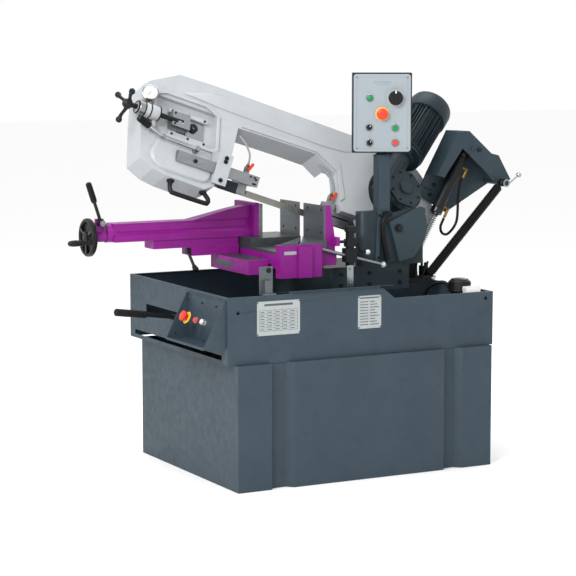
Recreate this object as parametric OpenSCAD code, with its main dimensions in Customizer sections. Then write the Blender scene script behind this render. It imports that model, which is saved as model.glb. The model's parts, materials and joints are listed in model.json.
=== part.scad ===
// Metal band saw: tray base, swivelling turret, tilting bow, screw vise.
// All sizes in millimetres. +Z is up, -Y is the operator's side, the bow head points to -X.
// The origin is the middle of the footprint, on the floor.

/* [Pedestal] */
// width of the pedestal along X
ped_w = 1124; // [1000:2:1250]
// depth of the pedestal along Y
ped_d = 872; // [780:2:960]
// height of the pedestal
ped_h = 480; // [420:5:560]
// thickness of its sheet steel
sheet_t = 3; // [2:0.5:5]
// depth of the two folded channels in its front
channel_d = 25; // [10:1:40]

/* [Tray] */
// outer left end of the chip tray
tray_x0 = -595; // [-620:1:-570]
// outer right end of the chip tray
tray_x1 = 578; // [560:1:620]
// outer front of the chip tray
tray_y0 = -416; // [-430:1:-400]
// outer back of the chip tray
tray_y1 = 475; // [450:1:500]
// top of the high part of the wall
tray_high = 735; // [700:1:780]
// top of the low part of the wall
tray_low = 693; // [660:1:720]
// top of the tray's floor
tray_floor = 543; // [520:1:600]

/* [Turret and table] */
// X of the vertical swivel axis
turn_x = -35; // [-60:1:0]
// Y of the vertical swivel axis, which the blade crosses
turn_y = 45; // [20:1:70]
// radius of the fixed column
column_r = 90; // [70:1:110]
// height of the table's top
table_z = 900; // [860:1:940]
// top of the turret's arm
arm_top = 784; // [770:1:800]
// underside of the turret's arm
arm_low = 684; // [660:1:700]

/* [Bow] */
// X of the bow's hinge pin
hinge_x = 308; // [280:1:340]
// Z of the bow's hinge pin
hinge_z = 932; // [900:1:960]
// how far the bow is raised, in degrees
raise = 18.6; // [2.6:0.2:30.6]
// how far the wheels' plane leans back, in degrees
lean = 28; // [20:1:35]
// radius of both band wheels, to the blade
wheel_r = 165; // [150:1:180]
// distance from the idler's centre to the bow's datum
idler_p = -932; // [-950:1:-900]
// distance from the driven wheel's centre to the bow's datum
drive_p = 12; // [0:1:30]
// width of the blade
blade_w = 27; // [20:1:34]
// thickness of the blade
blade_t = 1.1; // [0.9:0.1:1.3]

/* [Vise] */
// Y of the vise screw
screw_y = 197; // [170:1:220]
// Z of the vise screw
screw_z = 921; // [905:1:935]
// radius of the vise handwheel
handwheel_r = 75; // [60:1:90]

/* [Controls] */
// width of the control panel's box
panel_w = 236; // [200:2:280]
// height of the control panel's box
panel_h = 316; // [280:2:360]
// angle the panel is turned towards the operator
panel_turn = -28; // [-60:1:30]

/* [Hidden] */
$fn = 48;
run = 0.05;
datum_a = 33;
datum_c = 4;
blade_y = turn_y;
blade_c = -54;
post_x = 253;
post_y = -92;
loop_n = 20;
twist_n = 8;

// ---------- helpers ----------
module box(x0, x1, y0, y1, z0, z1) {
  translate([x0, y0, z0]) cube([x1 - x0, y1 - y0, z1 - z0]);
}

// a profile in X and Z, extruded along Y
module yplate(y0, y1) {
  translate([0, y1, 0]) rotate([90, 0, 0]) linear_extrude(y1 - y0) children();
}

// a profile in Y and Z, extruded along X
module xplate(x0, x1) {
  translate([x0, 0, 0]) rotate([90, 0, 90]) linear_extrude(x1 - x0) children();
}

// a round bar between two points
module bar(a, b, r) {
  d = b - a;
  l = norm(d);
  translate(a) rotate([0, acos(d[2] / l), atan2(d[1], d[0])]) cylinder(h = l, r = r);
}

// the bow's own frame: X along it, Y across, Z square to the blade's straight run
module bow() {
  translate([hinge_x, 0, hinge_z]) rotate([0, raise, 0]) translate([datum_a, 0, datum_c])
    children();
}

// the leaning frame of the band wheels: X along the bow, Y along the axles, Z in the wheels' plane
module wheels() {
  bow() translate([0, blade_y, blade_c]) rotate([-lean, 0, 0]) children();
}

module wbox(p0, p1, q0, q1, r0, r1) {
  box(p0, p1, q0, q1, r0, r1);
}

module wdisc(p, r, q0, q1, rad) {
  translate([p, q1, r]) rotate([90, 0, 0]) cylinder(h = q1 - q0, r = rad);
}

// ---------- pedestal and tray ----------
function ped_outline(t) = let (w = ped_w / 2 - t, d = ped_d / 2 - t, c = channel_d) [
  [-w, -d], [-420 - t, -d], [-420 - t, -d + c], [-350 + 0.4 * t, -d + c],
  [-325 + 0.4 * t, -d], [341 - t, -d], [341 - t, -d + c], [400 + 0.4 * t, -d + c],
  [425 + 0.4 * t, -d], [w, -d], [w, d], [-w, d]];

module pedestal() {
  color([0.30, 0.37, 0.42]) {
    difference() {
      linear_extrude(ped_h) polygon(ped_outline(0));
      translate([0, 0, -1]) linear_extrude(ped_h - 3) polygon(ped_outline(sheet_t));
    }
    difference() {
      union() {
        for (s = [-1, 1]) {
          box(s * 535 - 24, s * 535 + 24, -400, 430, 0, 5);
        }
      }
      for (sx = [-1, 1]) {
        for (y = [-375, 375]) {
          translate([sx * 535, y, -1]) cylinder(h = 8, r = 7);
        }
      }
    }
  }
}

module tray_side(y0, y1) {
  yplate(y0, y1) polygon([[tray_x0, ped_h], [tray_x1, ped_h], [tray_x1, tray_low],
    [126, tray_low], [72, tray_high], [tray_x0, tray_high]]);
}

module tray() {
  t = sheet_t;
  color([0.30, 0.37, 0.42]) difference() {
    union() {
      tray_side(tray_y0, tray_y0 + t);
      tray_side(tray_y1 - t, tray_y1);
      box(tray_x0, tray_x0 + t, tray_y0, tray_y1, ped_h, tray_high);
      box(tray_x1 - t, tray_x1, tray_y0, tray_y1, ped_h, tray_low);
      box(tray_x0, tray_x1, tray_y0, tray_y1, tray_floor - t, tray_floor);
      box(tray_x0, 72, tray_y0, tray_y0 + 12, tray_high - t, tray_high);
      box(tray_x0, 72, tray_y1 - 12, tray_y1, tray_high - t, tray_high);
      box(126, tray_x1, tray_y0, tray_y0 + 12, tray_low - t, tray_low);
      box(126, tray_x1, tray_y1 - 12, tray_y1, tray_low - t, tray_low);
      box(tray_x0, tray_x0 + 12, tray_y0, tray_y1, tray_high - t, tray_high);
      box(tray_x1 - 12, tray_x1, tray_y0, tray_y1, tray_low - t, tray_low);
    }
    box(tray_x0 - 5, tray_x0 + 15, 25, 318, 595, 630);
    box(tray_x0 - 5, tray_x0 + 15, -365, 429, 496, 514);
    for (h = [[-551, 676], [544, 667]]) {
      translate([h[0], tray_y0 - 5, h[1]]) rotate([-90, 0, 0]) cylinder(h = 20, r = 7);
    }
  }
}

// ---------- sloped box with the emergency stop on the tray's left end ----------
module on_slope(y) {
  translate([-645, y, 637]) rotate([0, -62.92, 0]) children();
}

module control_wedge() {
  color([0.30, 0.37, 0.42]) difference() {
    yplate(-405, -75) polygon([[tray_x0, 725], [-600, 725], [-690, 549], [-690, 545],
      [tray_x0, 545]]);
    yplate(-402, -78) polygon([[tray_x0 + 1, 722], [-601.9, 722], [-687, 555], [-687, 548],
      [tray_x0 + 1, 548]]);
    on_slope(-173) translate([0, 0, -10]) cylinder(h = 20, r = 11 + run);
    on_slope(-249) translate([0, 0, -10]) cylinder(h = 20, r = 9 + run);
    on_slope(-307) translate([0, 0, -10]) cylinder(h = 20, r = 9 + run);
  }
}

module wedge_estop() {
  color([0.75, 0.06, 0.05]) on_slope(-173) {
    translate([0, 0, -14]) cylinder(h = 30, r = 11);
    translate([0, 0, 12]) cylinder(h = 8, r1 = 16, r2 = 20);
    translate([0, 0, 20]) cylinder(h = 8, r = 20);
  }
}

module slope_button(y) {
  on_slope(y) translate([0, 0, -12]) cylinder(h = 20, r = 9);
}

module wedge_button_red() {
  color([0.7, 0.2, 0.15]) slope_button(-249);
}

module wedge_button_white() {
  color([0.8, 0.8, 0.8]) slope_button(-307);
}

// ---------- fixed parts on the tray ----------
module turret_column() {
  color([0.20, 0.27, 0.30]) translate([turn_x, turn_y, 0]) {
    translate([0, 0, tray_floor]) cylinder(h = 18, r = 150);
    translate([0, 0, tray_floor]) cylinder(h = 800 - tray_floor, r = column_r);
  }
}

module vise_bed() {
  color([0.50, 0.10, 0.47]) difference() {
    union() {
      box(-254, 17, -150, 262, 800, 855);
      box(-254, -71, -190, -150, 764, 893);
      box(-179, -120, -202, -190, 764, 884);
      box(-352, -254, -110, 222, 776, 832);
      box(-27, -8, -137, 24, 855, 1030);
      yplate(-137, -112) polygon([[-27, 800], [17, 800], [17, 900], [-4, 1036], [-27, 1036]]);
      box(-27, -10, 165, 228, 855, 1030);
      box(0, 17, -176, -137, 878, 912);
      box(-27, 17, -137, -112, 800, 860);
    }
    box(-360, -310, 32, 175, 790, 812);
    translate([2, -165, 893]) rotate([0, 90, 0]) cylinder(h = 20, r = 6.1);
  }
}

module worktable() {
  cx = turn_x;
  cy = turn_y;
  color([0.22, 0.25, 0.27]) difference() {
    union() {
      box(-254, -27, -150, 265, 855, table_z);
      box(-254, -71, -190, -150, 893, table_z);
    }
    translate([0, 0, 866]) linear_extrude(60) polygon([[cx + 2, cy + 6], [cx - 300, cy + 12],
      [cx - 300, cy - 322], [cx + 2, cy - 6]]);
    translate([cx, cy, 866]) rotate([0, 0, 240]) translate([-6, -5, 0]) cube([300, 10, 60]);
    box(cx - 6, -20, cy - 6, cy + 20, 866, 930);
  }
}

module fixed_jaws() {
  color([0.42, 0.44, 0.45]) difference() {
    union() {
      translate([0, 0, table_z]) linear_extrude(135) polygon([[-35, -137], [-27, -137],
        [-27, 22], [-33, 29], [-35, 29]]);
      translate([0, 0, table_z]) linear_extrude(135) polygon([[-35, 63], [-33, 63], [-27, 72],
        [-27, 228], [-35, 228]]);
    }
    for (y = [-115, -5, 95, 200]) {
      for (z = [table_z + 28, table_z + 118]) {
        translate([-36, y, z]) rotate([0, 90, 0]) cylinder(h = 4, r = 6);
      }
    }
  }
}

// length stop beside the jaws
module stop_rod() {
  color([0.6, 0.6, 0.6]) {
    bar([-58, -165, 867], [214, -165, 794], 7);
    translate([221, -165, 792]) sphere(r = 12);
  }
}

module stop_stand() {
  color([0.15, 0.17, 0.18]) difference() {
    union() {
      box(56, 80, -178, -152, 795, 953);
      box(42, 92, -182, -148, 812, 866);
      box(48, 92, -178, -152, 872, 902);
      box(52, 86, -180, -150, 930, 953);
      box(52, 74, -178, -172, 716, 795);
      translate([10, -165, 893]) rotate([0, 90, 0]) cylinder(h = 48, r = 6);
    }
    bar([-58, -165, 867], [214, -165, 794], 7 + run);
    translate([84, -165, 887]) rotate([0, 90, 0]) cylinder(h = 20, r = 6 + run);
  }
}

module stop_lever() {
  color([0.15, 0.17, 0.18]) {
    translate([84, -165, 887]) rotate([0, 90, 0]) cylinder(h = 12, r = 6);
    translate([92.3, -165, 887]) rotate([0, 90, 0]) cylinder(h = 12, r = 9);
    bar([98, -165, 885], [122, -165, 852], 4.5);
    bar([122, -165, 852], [148, -165, 846], 4.5);
    translate([122, -165, 852]) sphere(r = 5.5);
    translate([150, -165, 846]) sphere(r = 10);
  }
}

module post_bracket() {
  color([0.36, 0.42, 0.46]) difference() {
    union() {
      box(-445, -390, -413, -379, tray_high, tray_high + 6);
      box(-445, -390, -385, -379, tray_high, 840);
      box(-432, -402, -404, -385, tray_high, 790);
    }
    translate([-407, -390, 826]) rotate([-90, 0, 0]) cylinder(h = 20, r = 5);
  }
}

module drip_sheet() {
  color([0.36, 0.42, 0.46]) {
    translate([0, -428, 745]) rotate([-9, 0, 0]) linear_extrude(2) polygon([[-333, 0],
      [110, 0], [126, 40], [126, 200], [60, 296], [-120, 296], [-333, 190]]);
    box(-333, 60, tray_y0, tray_y0 + 12, tray_high, 743);
  }
}

module coolant_pump() {
  color([0.08, 0.08, 0.08]) translate([476, -330, 0]) {
    translate([0, 0, tray_floor]) cylinder(h = 150, r = 36);
    translate([0, 0, 690]) cylinder(h = 8, r = 48);
    translate([0, 0, 698]) cylinder(h = 32, r = 43);
    translate([0, 0, 730]) cylinder(h = 6, r1 = 43, r2 = 36);
    box(-11, 46, -74, -42, 676, 712);
    box(5, 30, -44, -30, 684, 700);
  }
}

module lock_lever() {
  color([0.1, 0.1, 0.1]) {
    difference() {
      translate([turn_x, turn_y, 588]) cylinder(h = 24, r = 112);
      translate([turn_x, turn_y, 580]) cylinder(h = 40, r = column_r + run);
    }
    bar([turn_x - 105, turn_y, 600], [-520, turn_y, 600], 9);
    translate([-520, turn_y - 10, 600]) rotate([-90, 0, 0]) cylinder(h = 20, r = 13);
    bar([-520, turn_y, 600], [-750, turn_y, 631], 9);
    bar([-720, turn_y, 627], [-845, turn_y, 643.85], 14);
  }
}

// ---------- turret ----------
module tower_plan() {
  translate([177, -80]) circle(r = 30);
  translate([177, -110]) square([263, 60]);
}

module turret_casting() {
  color([0.24, 0.31, 0.35]) difference() {
    union() {
      translate([turn_x, turn_y, arm_low]) cylinder(h = arm_top - arm_low, r = 165);
      translate([0, 0, arm_low]) linear_extrude(arm_top - arm_low)
        polygon([[turn_x, -110], [375, -110], [375, 110], [300, 200], [turn_x, 200]]);
      intersection() {
        translate([0, 0, arm_top - 1]) linear_extrude(300) tower_plan();
        yplate(-120, -40) polygon([[140, 700], [140, 985], [155, 1000], [290, 1000],
          [305, 978], [350, 978], [440, 900], [440, 700]]);
      }
      yplate(-120, -109) polygon([[240, 962], [252, 985], [392, 1010], [404, 955],
        [392, 860], [356, 806], [268, 792]]);
      box(200, 370, -60, 108, arm_top, arm_top + 6);
    }
    translate([turn_x, turn_y, arm_low - 5]) cylinder(h = 200, r = column_r + run);
    translate([hinge_x, -105, hinge_z]) rotate([-90, 0, 0]) cylinder(h = 70, r = 24 + run);
  }
}

module pivot_cover() {
  color([0.33, 0.40, 0.45]) {
    yplate(-134, -120.2) polygon([[268, 956], [416, 1014], [432, 985], [440, 949],
      [436, 905], [417, 860], [380, 814], [314, 797]]);
    translate([hinge_x, -141, hinge_z]) rotate([-90, 0, 0]) cylinder(h = 8, r = 13, $fn = 6);
  }
}

module pivot_shaft() {
  color([0.6, 0.6, 0.6]) translate([hinge_x, -105, hinge_z]) rotate([-90, 0, 0])
    cylinder(h = 121, r = 24);
}

module panel_post() {
  color([0.33, 0.40, 0.45]) {
    box(post_x - 28, post_x + 28, -116, -78, 1000, 1226);
    translate([post_x, post_y, 1226]) cylinder(h = 8, r = 19);
  }
}

// bearing block for the strut and anchor for the counterbalance spring
module strut_foot() {
  color([0.15, 0.17, 0.18]) {
    difference() {
      union() {
        box(375, 464, -78, 44, 698, 714);
        box(375, 484, -12, 44, 698, 714);
        box(456, 500, -78, -70, 698, 724);
        box(456, 500, -50, -42, 698, 724);
        for (y = [-2, 28]) {
          yplate(y, y + 10) polygon([[436, 714], [484, 714], [478, 772], [442, 772]]);
        }
      }
      translate([460, -10, 755]) rotate([-90, 0, 0]) cylinder(h = 60, r = 8);
    }
    translate([460, -6, 755]) rotate([-90, 0, 0]) cylinder(h = 48, r = 7.9);
    translate([sp_low[0], -82, sp_low[2]]) rotate([-90, 0, 0]) cylinder(h = 44, r = 6);
  }
}

// ---------- control panel ----------
module panel() {
  translate([post_x, post_y, 1393]) rotate([0, 0, panel_turn]) children();
}

module panel_at(u, v) {
  panel() translate([u, -50, v]) rotate([90, 0, 0]) children();
}

module panel_box() {
  color([0.75, 0.76, 0.78]) difference() {
    panel() {
      box(-panel_w / 2, panel_w / 2, -46, 30, -panel_h / 2, panel_h / 2);
      box(-panel_w / 2 + 6, panel_w / 2 - 6, -50, -46, -panel_h / 2 + 6, panel_h / 2 - 6);
      box(-30, 30, 27, 34, -panel_h / 2 + 10, -panel_h / 2 + 60);
    }
    panel() box(-panel_w / 2 + 3, panel_w / 2 - 3, -43, 24, -panel_h / 2 + 3,
      panel_h / 2 - 3);
    for (c = [[53, 59, 8], [0, -4, 11], [-51, -57, 8], [-49, -118, 8], [53, -60, 9],
      [53, -118, 9]]) {
      panel_at(c[0], c[1]) translate([0, 0, -14]) cylinder(h = 20, r = c[2] + run);
    }
  }
}

module power_knob() {
  color([0.05, 0.05, 0.05]) panel_at(53, 59) {
    translate([0, 0, -10]) cylinder(h = 14, r = 8);
    translate([0, 0, 1]) cylinder(h = 24, r = 29);
    box(-4, 4, -27, 27, 24, 29);
  }
}

module panel_estop() {
  color([0.85, 0.12, 0.08]) panel_at(0, -4) {
    translate([0, 0, -5]) cylinder(h = 20, r = 11);
    translate([0, 0, 12]) cylinder(h = 8, r1 = 18, r2 = 22);
    translate([0, 0, 20]) cylinder(h = 8, r = 22);
  }
}

module selector() {
  translate([0, 0, -10]) cylinder(h = 14, r = 8);
  translate([0, 0, 1]) cylinder(h = 8, r = 13);
  box(-3.5, 3.5, -12, 12, 8, 18);
}

module selector_upper() {
  color([0.05, 0.05, 0.05]) panel_at(-51, -57) selector();
}

module selector_lower() {
  color([0.05, 0.05, 0.05]) panel_at(-49, -118) selector();
}

module push_button() {
  translate([0, 0, -8]) cylinder(h = 16, r = 9);
  translate([0, 0, 5]) cylinder(h = 5, r = 12);
}

module button_green() {
  color([0.05, 0.5, 0.25]) panel_at(53, -60) push_button();
}

module button_red() {
  color([0.8, 0.2, 0.2]) panel_at(53, -118) push_button();
}

// ---------- bow ----------
head_pts = [[-1165, 131], [-1165, 275], [-1133, 306], [-1007, 378], [-834, 385], [12, 385],
  [12, -38], [-120, -34], [-150, 20], [-236, 20], [-252, 48], [-270, 179], [-364, 239],
  [-733, 232], [-759, 92], [-786, 65], [-829, -60], [-872, -88], [-1042, -82], [-1099, -72],
  [-1158, -42]];

module bow_plate(q0, q1) {
  translate([0, q1, 0]) rotate([90, 0, 0]) linear_extrude(q1 - q0) {
    polygon(head_pts);
    translate([drive_p, 170]) circle(r = 205, $fn = 96);
  }
}

hinge_p = [-660, -290];

module hinge_lug(p) {
  wbox(p, p + 14, 14, 31, 378, 401);
  wbox(p, p + 14, 30, 46, 383, 401);
}

module bow_casting() {
  m = [0.466, 0, 0.885];
  color([0.75, 0.76, 0.77]) difference() {
    union() {
      wheels() {
        bow_plate(-75, 31);
        for (p = hinge_p) {
          hinge_lug(p - 18);
          hinge_lug(p + 34);
          translate([p - 10, 38, 393]) rotate([0, 90, 0]) cylinder(h = 50, r = 3.5);
        }
      }
      bow() translate([-datum_a, -44, -datum_c]) rotate([-90, 0, 0]) cylinder(h = 56, r = 42);
    }
    wheels() {
      wdisc(idler_p, wheel_r, -30, 40, 175);
      wdisc(idler_p - 8, wheel_r, -30, 40, 175);
      wdisc(drive_p, wheel_r, -30, 40, 176);
      wbox(idler_p, drive_p, -30, 40, 250, 370);
      wbox(idler_p, -700, -30, 40, -22, 22);
      wbox(-300, drive_p, -30, 40, -22, 22);
      wbox(-300, -162, -30, 40, -60, 233);
      wbox(-1106, -836, -90, -56, 95, 255);
      wbox(-1000, -905, -90, -20, 130, 200);
      wbox(-1180, -1100, -124, -56, 128, 188);
      wdisc(drive_p, wheel_r, -80, 0, 34);
      translate([-50, -130, 198]) translate(150 * m) rotate([0, 27.77, 0])
        cylinder(h = 200, r = 94.5);
    }
    bow() translate([-datum_a, -60, -datum_c]) rotate([-90, 0, 0])
      cylinder(h = 78, r = 24 + run);
    bow() yplate(-200, 47) polygon([[95, -190], [239, 421], [420, 421], [420, -190]]);
  }
}

module cover_shape(g) {
  translate([idler_p, wheel_r]) circle(r = 186 - g, $fn = 96);
  translate([drive_p, wheel_r]) circle(r = 190 - g, $fn = 96);
  translate([idler_p, 244 + g]) square([drive_p - idler_p, 136 - 2 * g]);
}

module rear_cover() {
  color([0.12, 0.13, 0.14]) wheels() difference() {
    union() {
      difference() {
        translate([0, 42, 0]) rotate([90, 0, 0]) linear_extrude(10.8) cover_shape(0);
        translate([0, 39, 0]) rotate([90, 0, 0]) linear_extrude(10) cover_shape(3);
      }
      for (p = hinge_p) {
        translate([p, 38, 393]) rotate([0, 90, 0]) cylinder(h = 30, r = 7);
        wbox(p, p + 30, 38.5, 42, 372, 392);
      }
      wdisc(idler_p - 60, wheel_r - 130, 42, 58, 14);
    }
    for (p = hinge_p) {
      translate([p - 5, 38, 393]) rotate([0, 90, 0]) cylinder(h = 40, r = 3.5 + run);
    }
  }
}

// direction of the blade's width: flat on the wheels, upright between the guides
function ease(x) = x <= 0 ? 0 : x >= 1 ? 1 : x * x * (3 - 2 * x);
function twist_at(p) = lean + (90 - lean) * (ease((p - idler_p - 10) / 110)
  - ease((p + 165) / 160));
function low_p(i) = let (n = twist_n) i <= n ? idler_p + 130 * i / n
  : -170 + (drive_p + 170) * (i - n - 1) / n;
function low_ring(p) = let (b = twist_at(p)) [[p, 0, 0], [0, cos(b), -sin(b)],
  [0, sin(b), cos(b)]];
function wheel_pt(pc, q, r) = [pc, q * cos(lean) + r * sin(lean), -q * sin(lean)
  + r * cos(lean)];
function arc_ring(pc, a) = [wheel_pt(pc + wheel_r * sin(a), 0, wheel_r - wheel_r * cos(a)),
  wheel_pt(0, 1, 0), wheel_pt(-sin(a), 0, cos(a))];
rim_r = wheel_r * cos(90 / loop_n) - blade_t / 2 - 0.2;
rings = concat([for (i = [0 : 2 * twist_n + 1]) low_ring(low_p(i))],
  [for (i = [1 : loop_n]) arc_ring(drive_p, 180 * i / loop_n)],
  [for (i = [0 : loop_n - 1]) arc_ring(idler_p, 180 + 180 * i / loop_n)]);

module blade() {
  n = len(rings);
  w = blade_w / 2;
  t = blade_t / 2;
  pts = [for (g = rings) for (s = [[1, 1], [1, -1], [-1, -1], [-1, 1]])
    g[0] + s[0] * w * g[1] + s[1] * t * g[2]];
  faces = [for (i = [0 : n - 1]) for (k = [0 : 3]) for (h = [0, 1])
    let (a = 4 * i + k, b = 4 * i + (k + 1) % 4, c = 4 * ((i + 1) % n) + (k + 1) % 4,
      d = 4 * ((i + 1) % n) + k) h == 0 ? [a, b, c] : [a, c, d]];
  color([0.55, 0.56, 0.56]) bow() translate([0, blade_y, blade_c])
    polyhedron(points = pts, faces = faces, convexity = 8);
}

valve_l = [-684, 2, 22];
valve_r = [-278, 22, 22];

module guide_clamp() {
  color([0.78, 0.78, 0.79]) difference() {
    bow() box(-848, -790, -64, 30, -62, 60);
    bow() box(-900, -700, -51.2, -26.8, -25.2, 17.2);
    wheels() wbox(-900, -700, -75, 200, -200, 300);
  }
}

// body of a coolant valve, with the bore its lever turns in
module valve_body(a, y, c) {
  box(a - 9, a + 9, y, y + 18, c - 6, c + 24);
  translate([a, y + 9, c + 20]) cylinder(h = 14, r = 6);
}

module valve_bore(a, y, c) {
  translate([a, y - 5, c + 12]) rotate([-90, 0, 0]) cylinder(h = 15, r = 4 + run);
}

module guide_arm() {
  color([0.68, 0.69, 0.70]) bow() difference() {
    union() {
      valve_body(valve_l[0], valve_l[1], valve_l[2]);
      box(-1014, -650, -51, -27, -25, 17);
      box(-705, -650, -51, 70, -24, 17);
      box(-700, -655, 28, 62, -61, -24);
      box(-785, -700, 18, 30, -66, -26);
    }
    box(-720, -640, blade_y - 0.8, blade_y + 0.8, -90, -38);
    valve_bore(valve_l[0], valve_l[1], valve_l[2]);
  }
}

module guide_rod() {
  color([0.6, 0.6, 0.61]) wheels() {
    wdisc(-932, 52, -120, -75.3, 11);
    bar([-932, -108, 52], [-1082, -108, 60], 7);
    wdisc(-1082, 60, -117, -99, 9);
    bar([-1082, -108, 60], [-1155, -108, 90], 7);
    bar([-1145, -108, 86], [-1192, -108, 105.3], 13);
  }
}

// lever of a coolant valve
module valve(v) {
  bow() translate([v[0], v[1], v[2] + 12]) {
    translate([0, -8, 0]) rotate([-90, 0, 0]) cylinder(h = 17, r = 4);
    translate([0, -6, 0]) rotate([0, 25, 0]) box(-5, 5, -3, 0, -6, 36);
  }
}

module valve_left() {
  color([0.7, 0.1, 0.08]) valve(valve_l);
}

module valve_right() {
  color([0.7, 0.1, 0.08]) valve(valve_r);
}

module fixed_guide() {
  color([0.62, 0.63, 0.64]) difference() {
    union() {
      bow() box(-290, -176, 12, 74, -61, 10);
      bow() box(-290, -256, 12, 74, 0, 18);
      bow() valve_body(valve_r[0], valve_r[1], valve_r[2]);
    }
    wheels() wbox(-254, -100, -200, 200, 20, 100);
    bow() box(-300, -150, blade_y - 0.8, blade_y + 0.8, -90, -36);
    bow() valve_bore(valve_r[0], valve_r[1], valve_r[2]);
  }
}

module bow_handle() {
  color([0.05, 0.05, 0.05]) wheels() {
    bar([-1010, -52, -85.5], [-1012, -52, -132], 9);
    bar([-866, -52, -96], [-840, -52, -132], 9);
    bar([-1012, -52, -132], [-840, -52, -132], 9);
    translate([-1012, -52, -132]) sphere(r = 10);
    translate([-840, -52, -132]) sphere(r = 10);
  }
}

module tension_housing() {
  color([0.72, 0.72, 0.73]) wheels() difference() {
    union() {
      wbox(-1044, -872, -74, -56, 200, 216);
      wbox(-1044, -872, -74, -56, 97, 114);
      translate([-1168, -92, 158]) rotate([0, 90, 0]) cylinder(h = 66, r = 29);
      translate([-1196, -92, 158]) rotate([0, 90, 0]) cylinder(h = 30, r = 23);
      wbox(-1162, -1106, -92, -56, 134, 182);
    }
    translate([-1200, -92, 158]) rotate([0, 90, 0]) cylinder(h = 110, r = 10 + run);
  }
}

module tension_gauge() {
  color([0.5, 0.5, 0.48]) wheels() {
    translate([-1150, -92, 187]) cylinder(h = 14, r = 6);
    translate([-1150, -105, 227]) rotate([90, 0, -35]) translate([0, 0, -12])
      cylinder(h = 24, r = 30);
  }
}

module tension_block() {
  color([0.85, 0.85, 0.85]) wheels() {
    difference() {
      wbox(-1040, -962, -96, -56.3, 132, 198);
      translate([-1050, -92, 158]) rotate([0, 90, 0]) cylinder(h = 60, r = 10 + run);
    }
    wbox(-963, -885, -64, -56.3, 118, 198);
    wbox(-978, -925, -60, -24, 142, 188);
    wdisc(idler_p, wheel_r, -70, -20, 18);
    wdisc(idler_p, wheel_r, -24, 20, 15);
  }
}

module tension_handle() {
  color([0.05, 0.05, 0.05]) wheels() translate([0, -92, 158]) {
    translate([-1222, 0, 0]) rotate([0, 90, 0]) cylinder(h = 206, r = 10);
    translate([-1236, 0, 0]) rotate([0, 90, 0]) cylinder(h = 36, r = 16);
    for (a = [100, 220, 340]) {
      rotate([a, 0, 0]) {
        bar([-1222, 0, 0], [-1250, 0, 62], 8);
        translate([-1252, 0, 66]) sphere(r = 13);
      }
    }
  }
}

module band_wheel(p) {
  wheels() difference() {
    union() {
      wdisc(p, wheel_r, -14, 14, rim_r);
      wdisc(p, wheel_r, -18, -14, wheel_r + 4);
    }
    difference() {
      wdisc(p, wheel_r, -25, -5, wheel_r - 18);
      wdisc(p, wheel_r, -30, 0, 40);
    }
    difference() {
      wdisc(p, wheel_r, 5, 25, wheel_r - 18);
      wdisc(p, wheel_r, 0, 30, 40);
    }
  }
}

module idler_wheel() {
  color([0.5, 0.5, 0.5]) difference() {
    band_wheel(idler_p);
    wheels() wdisc(idler_p, wheel_r, -60, 60, 15 + run);
  }
}

module drive_wheel() {
  color([0.5, 0.5, 0.5]) {
    band_wheel(drive_p);
    wheels() wdisc(drive_p, wheel_r, -80, -10, 25);
  }
}

module gearbox() {
  m = [0.466, 0, 0.885];
  color([0.24, 0.31, 0.35]) wheels() difference() {
    union() {
      wdisc(drive_p, wheel_r, -86, -75, 100);
      wdisc(drive_p, wheel_r, -150, -86, 92);
      translate([drive_p, -148, wheel_r]) rotate([90, 0, 0]) rotate([0, 0, 22.5])
        cylinder(h = 22, r = 84, $fn = 8);
      wdisc(drive_p, wheel_r, -180, -168, 28);
      translate([-50, -130, 198]) translate(-95 * m) rotate([0, 27.77, 0])
        cylinder(h = 245, r = 41);
      translate([-50, -130, 198]) translate(135 * m) rotate([0, 27.77, 0])
        cylinder(h = 15, r = 54);
    }
    wdisc(drive_p, wheel_r, -100, -60, 25 + run);
  }
}

module motor() {
  m = [0.466, 0, 0.885];
  color([0.24, 0.31, 0.35]) wheels() translate([-50, -130, 198]) translate(150 * m)
    rotate([0, 27.77, 0]) {
    cylinder(h = 14, r = 80);
    cylinder(h = 310, r = 74);
    for (i = [0 : 11]) {
      rotate([0, 0, 15 * i]) box(-83, 83, -2, 2, 20, 250);
    }
    translate([0, 0, 250]) cylinder(h = 66, r = 90);
    translate([0, 0, 316]) cylinder(h = 14, r1 = 90, r2 = 72);
  }
}

bk_top = [[178, 463], [230, 479], [364, 424], [400, 427], [491, 349]];

module rear_bracket() {
  color([0.26, 0.33, 0.37]) {
    difference() {
      union() {
        bow() yplate(60, 66) polygon(concat(bk_top, [[450, 318], [285, 139], [180, 160],
          [132, 178], [140, 262]]));
        bow() yplate(-30, -24) polygon(concat(bk_top, [[435, 313], [222, 402], [176, 262],
          [140, 262]]));
        bow() yplate(-30, 66) polygon(concat(bk_top, [[485, 345], [399, 421], [363, 418],
          [230, 473], [181, 458]]));
        bow() yplate(-30, 66) polygon([[178, 463], [181, 458], [146, 262], [140, 262]]);
        wheels() wbox(150, 190, -112, -75, 235, 262);
      }
      bow() translate([266, -40, 415]) rotate([-90, 0, 0]) cylinder(h = 120, r = 8);
      bow() translate([432, -40, 320]) rotate([-90, 0, 0]) cylinder(h = 120, r = 10);
    }
    bow() translate([266, -36, 415]) rotate([-90, 0, 0]) cylinder(h = 104, r = 7.9);
    bow() translate([432, -92, 320]) rotate([-90, 0, 0]) cylinder(h = 162, r = 9.9);
  }
}

// ---------- coolant hoses ----------
// points of the two hoses, in the bow's frame
hose_l = [[-684, 11, 57.2], [-684, 12, 64], [-683, 16, 78], [-684, 24, 96], [-690, 36, 114],
  [-700, 50, 132], [-712, 64, 146], [-722, 76, 156]];
hose_r = [[-278, 31, 57.2], [-278, 32, 64], [-279, 36, 80], [-282, 46, 98], [-290, 60, 118],
  [-302, 76, 136], [-318, 92, 148], [-330, 104, 152]];

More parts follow.
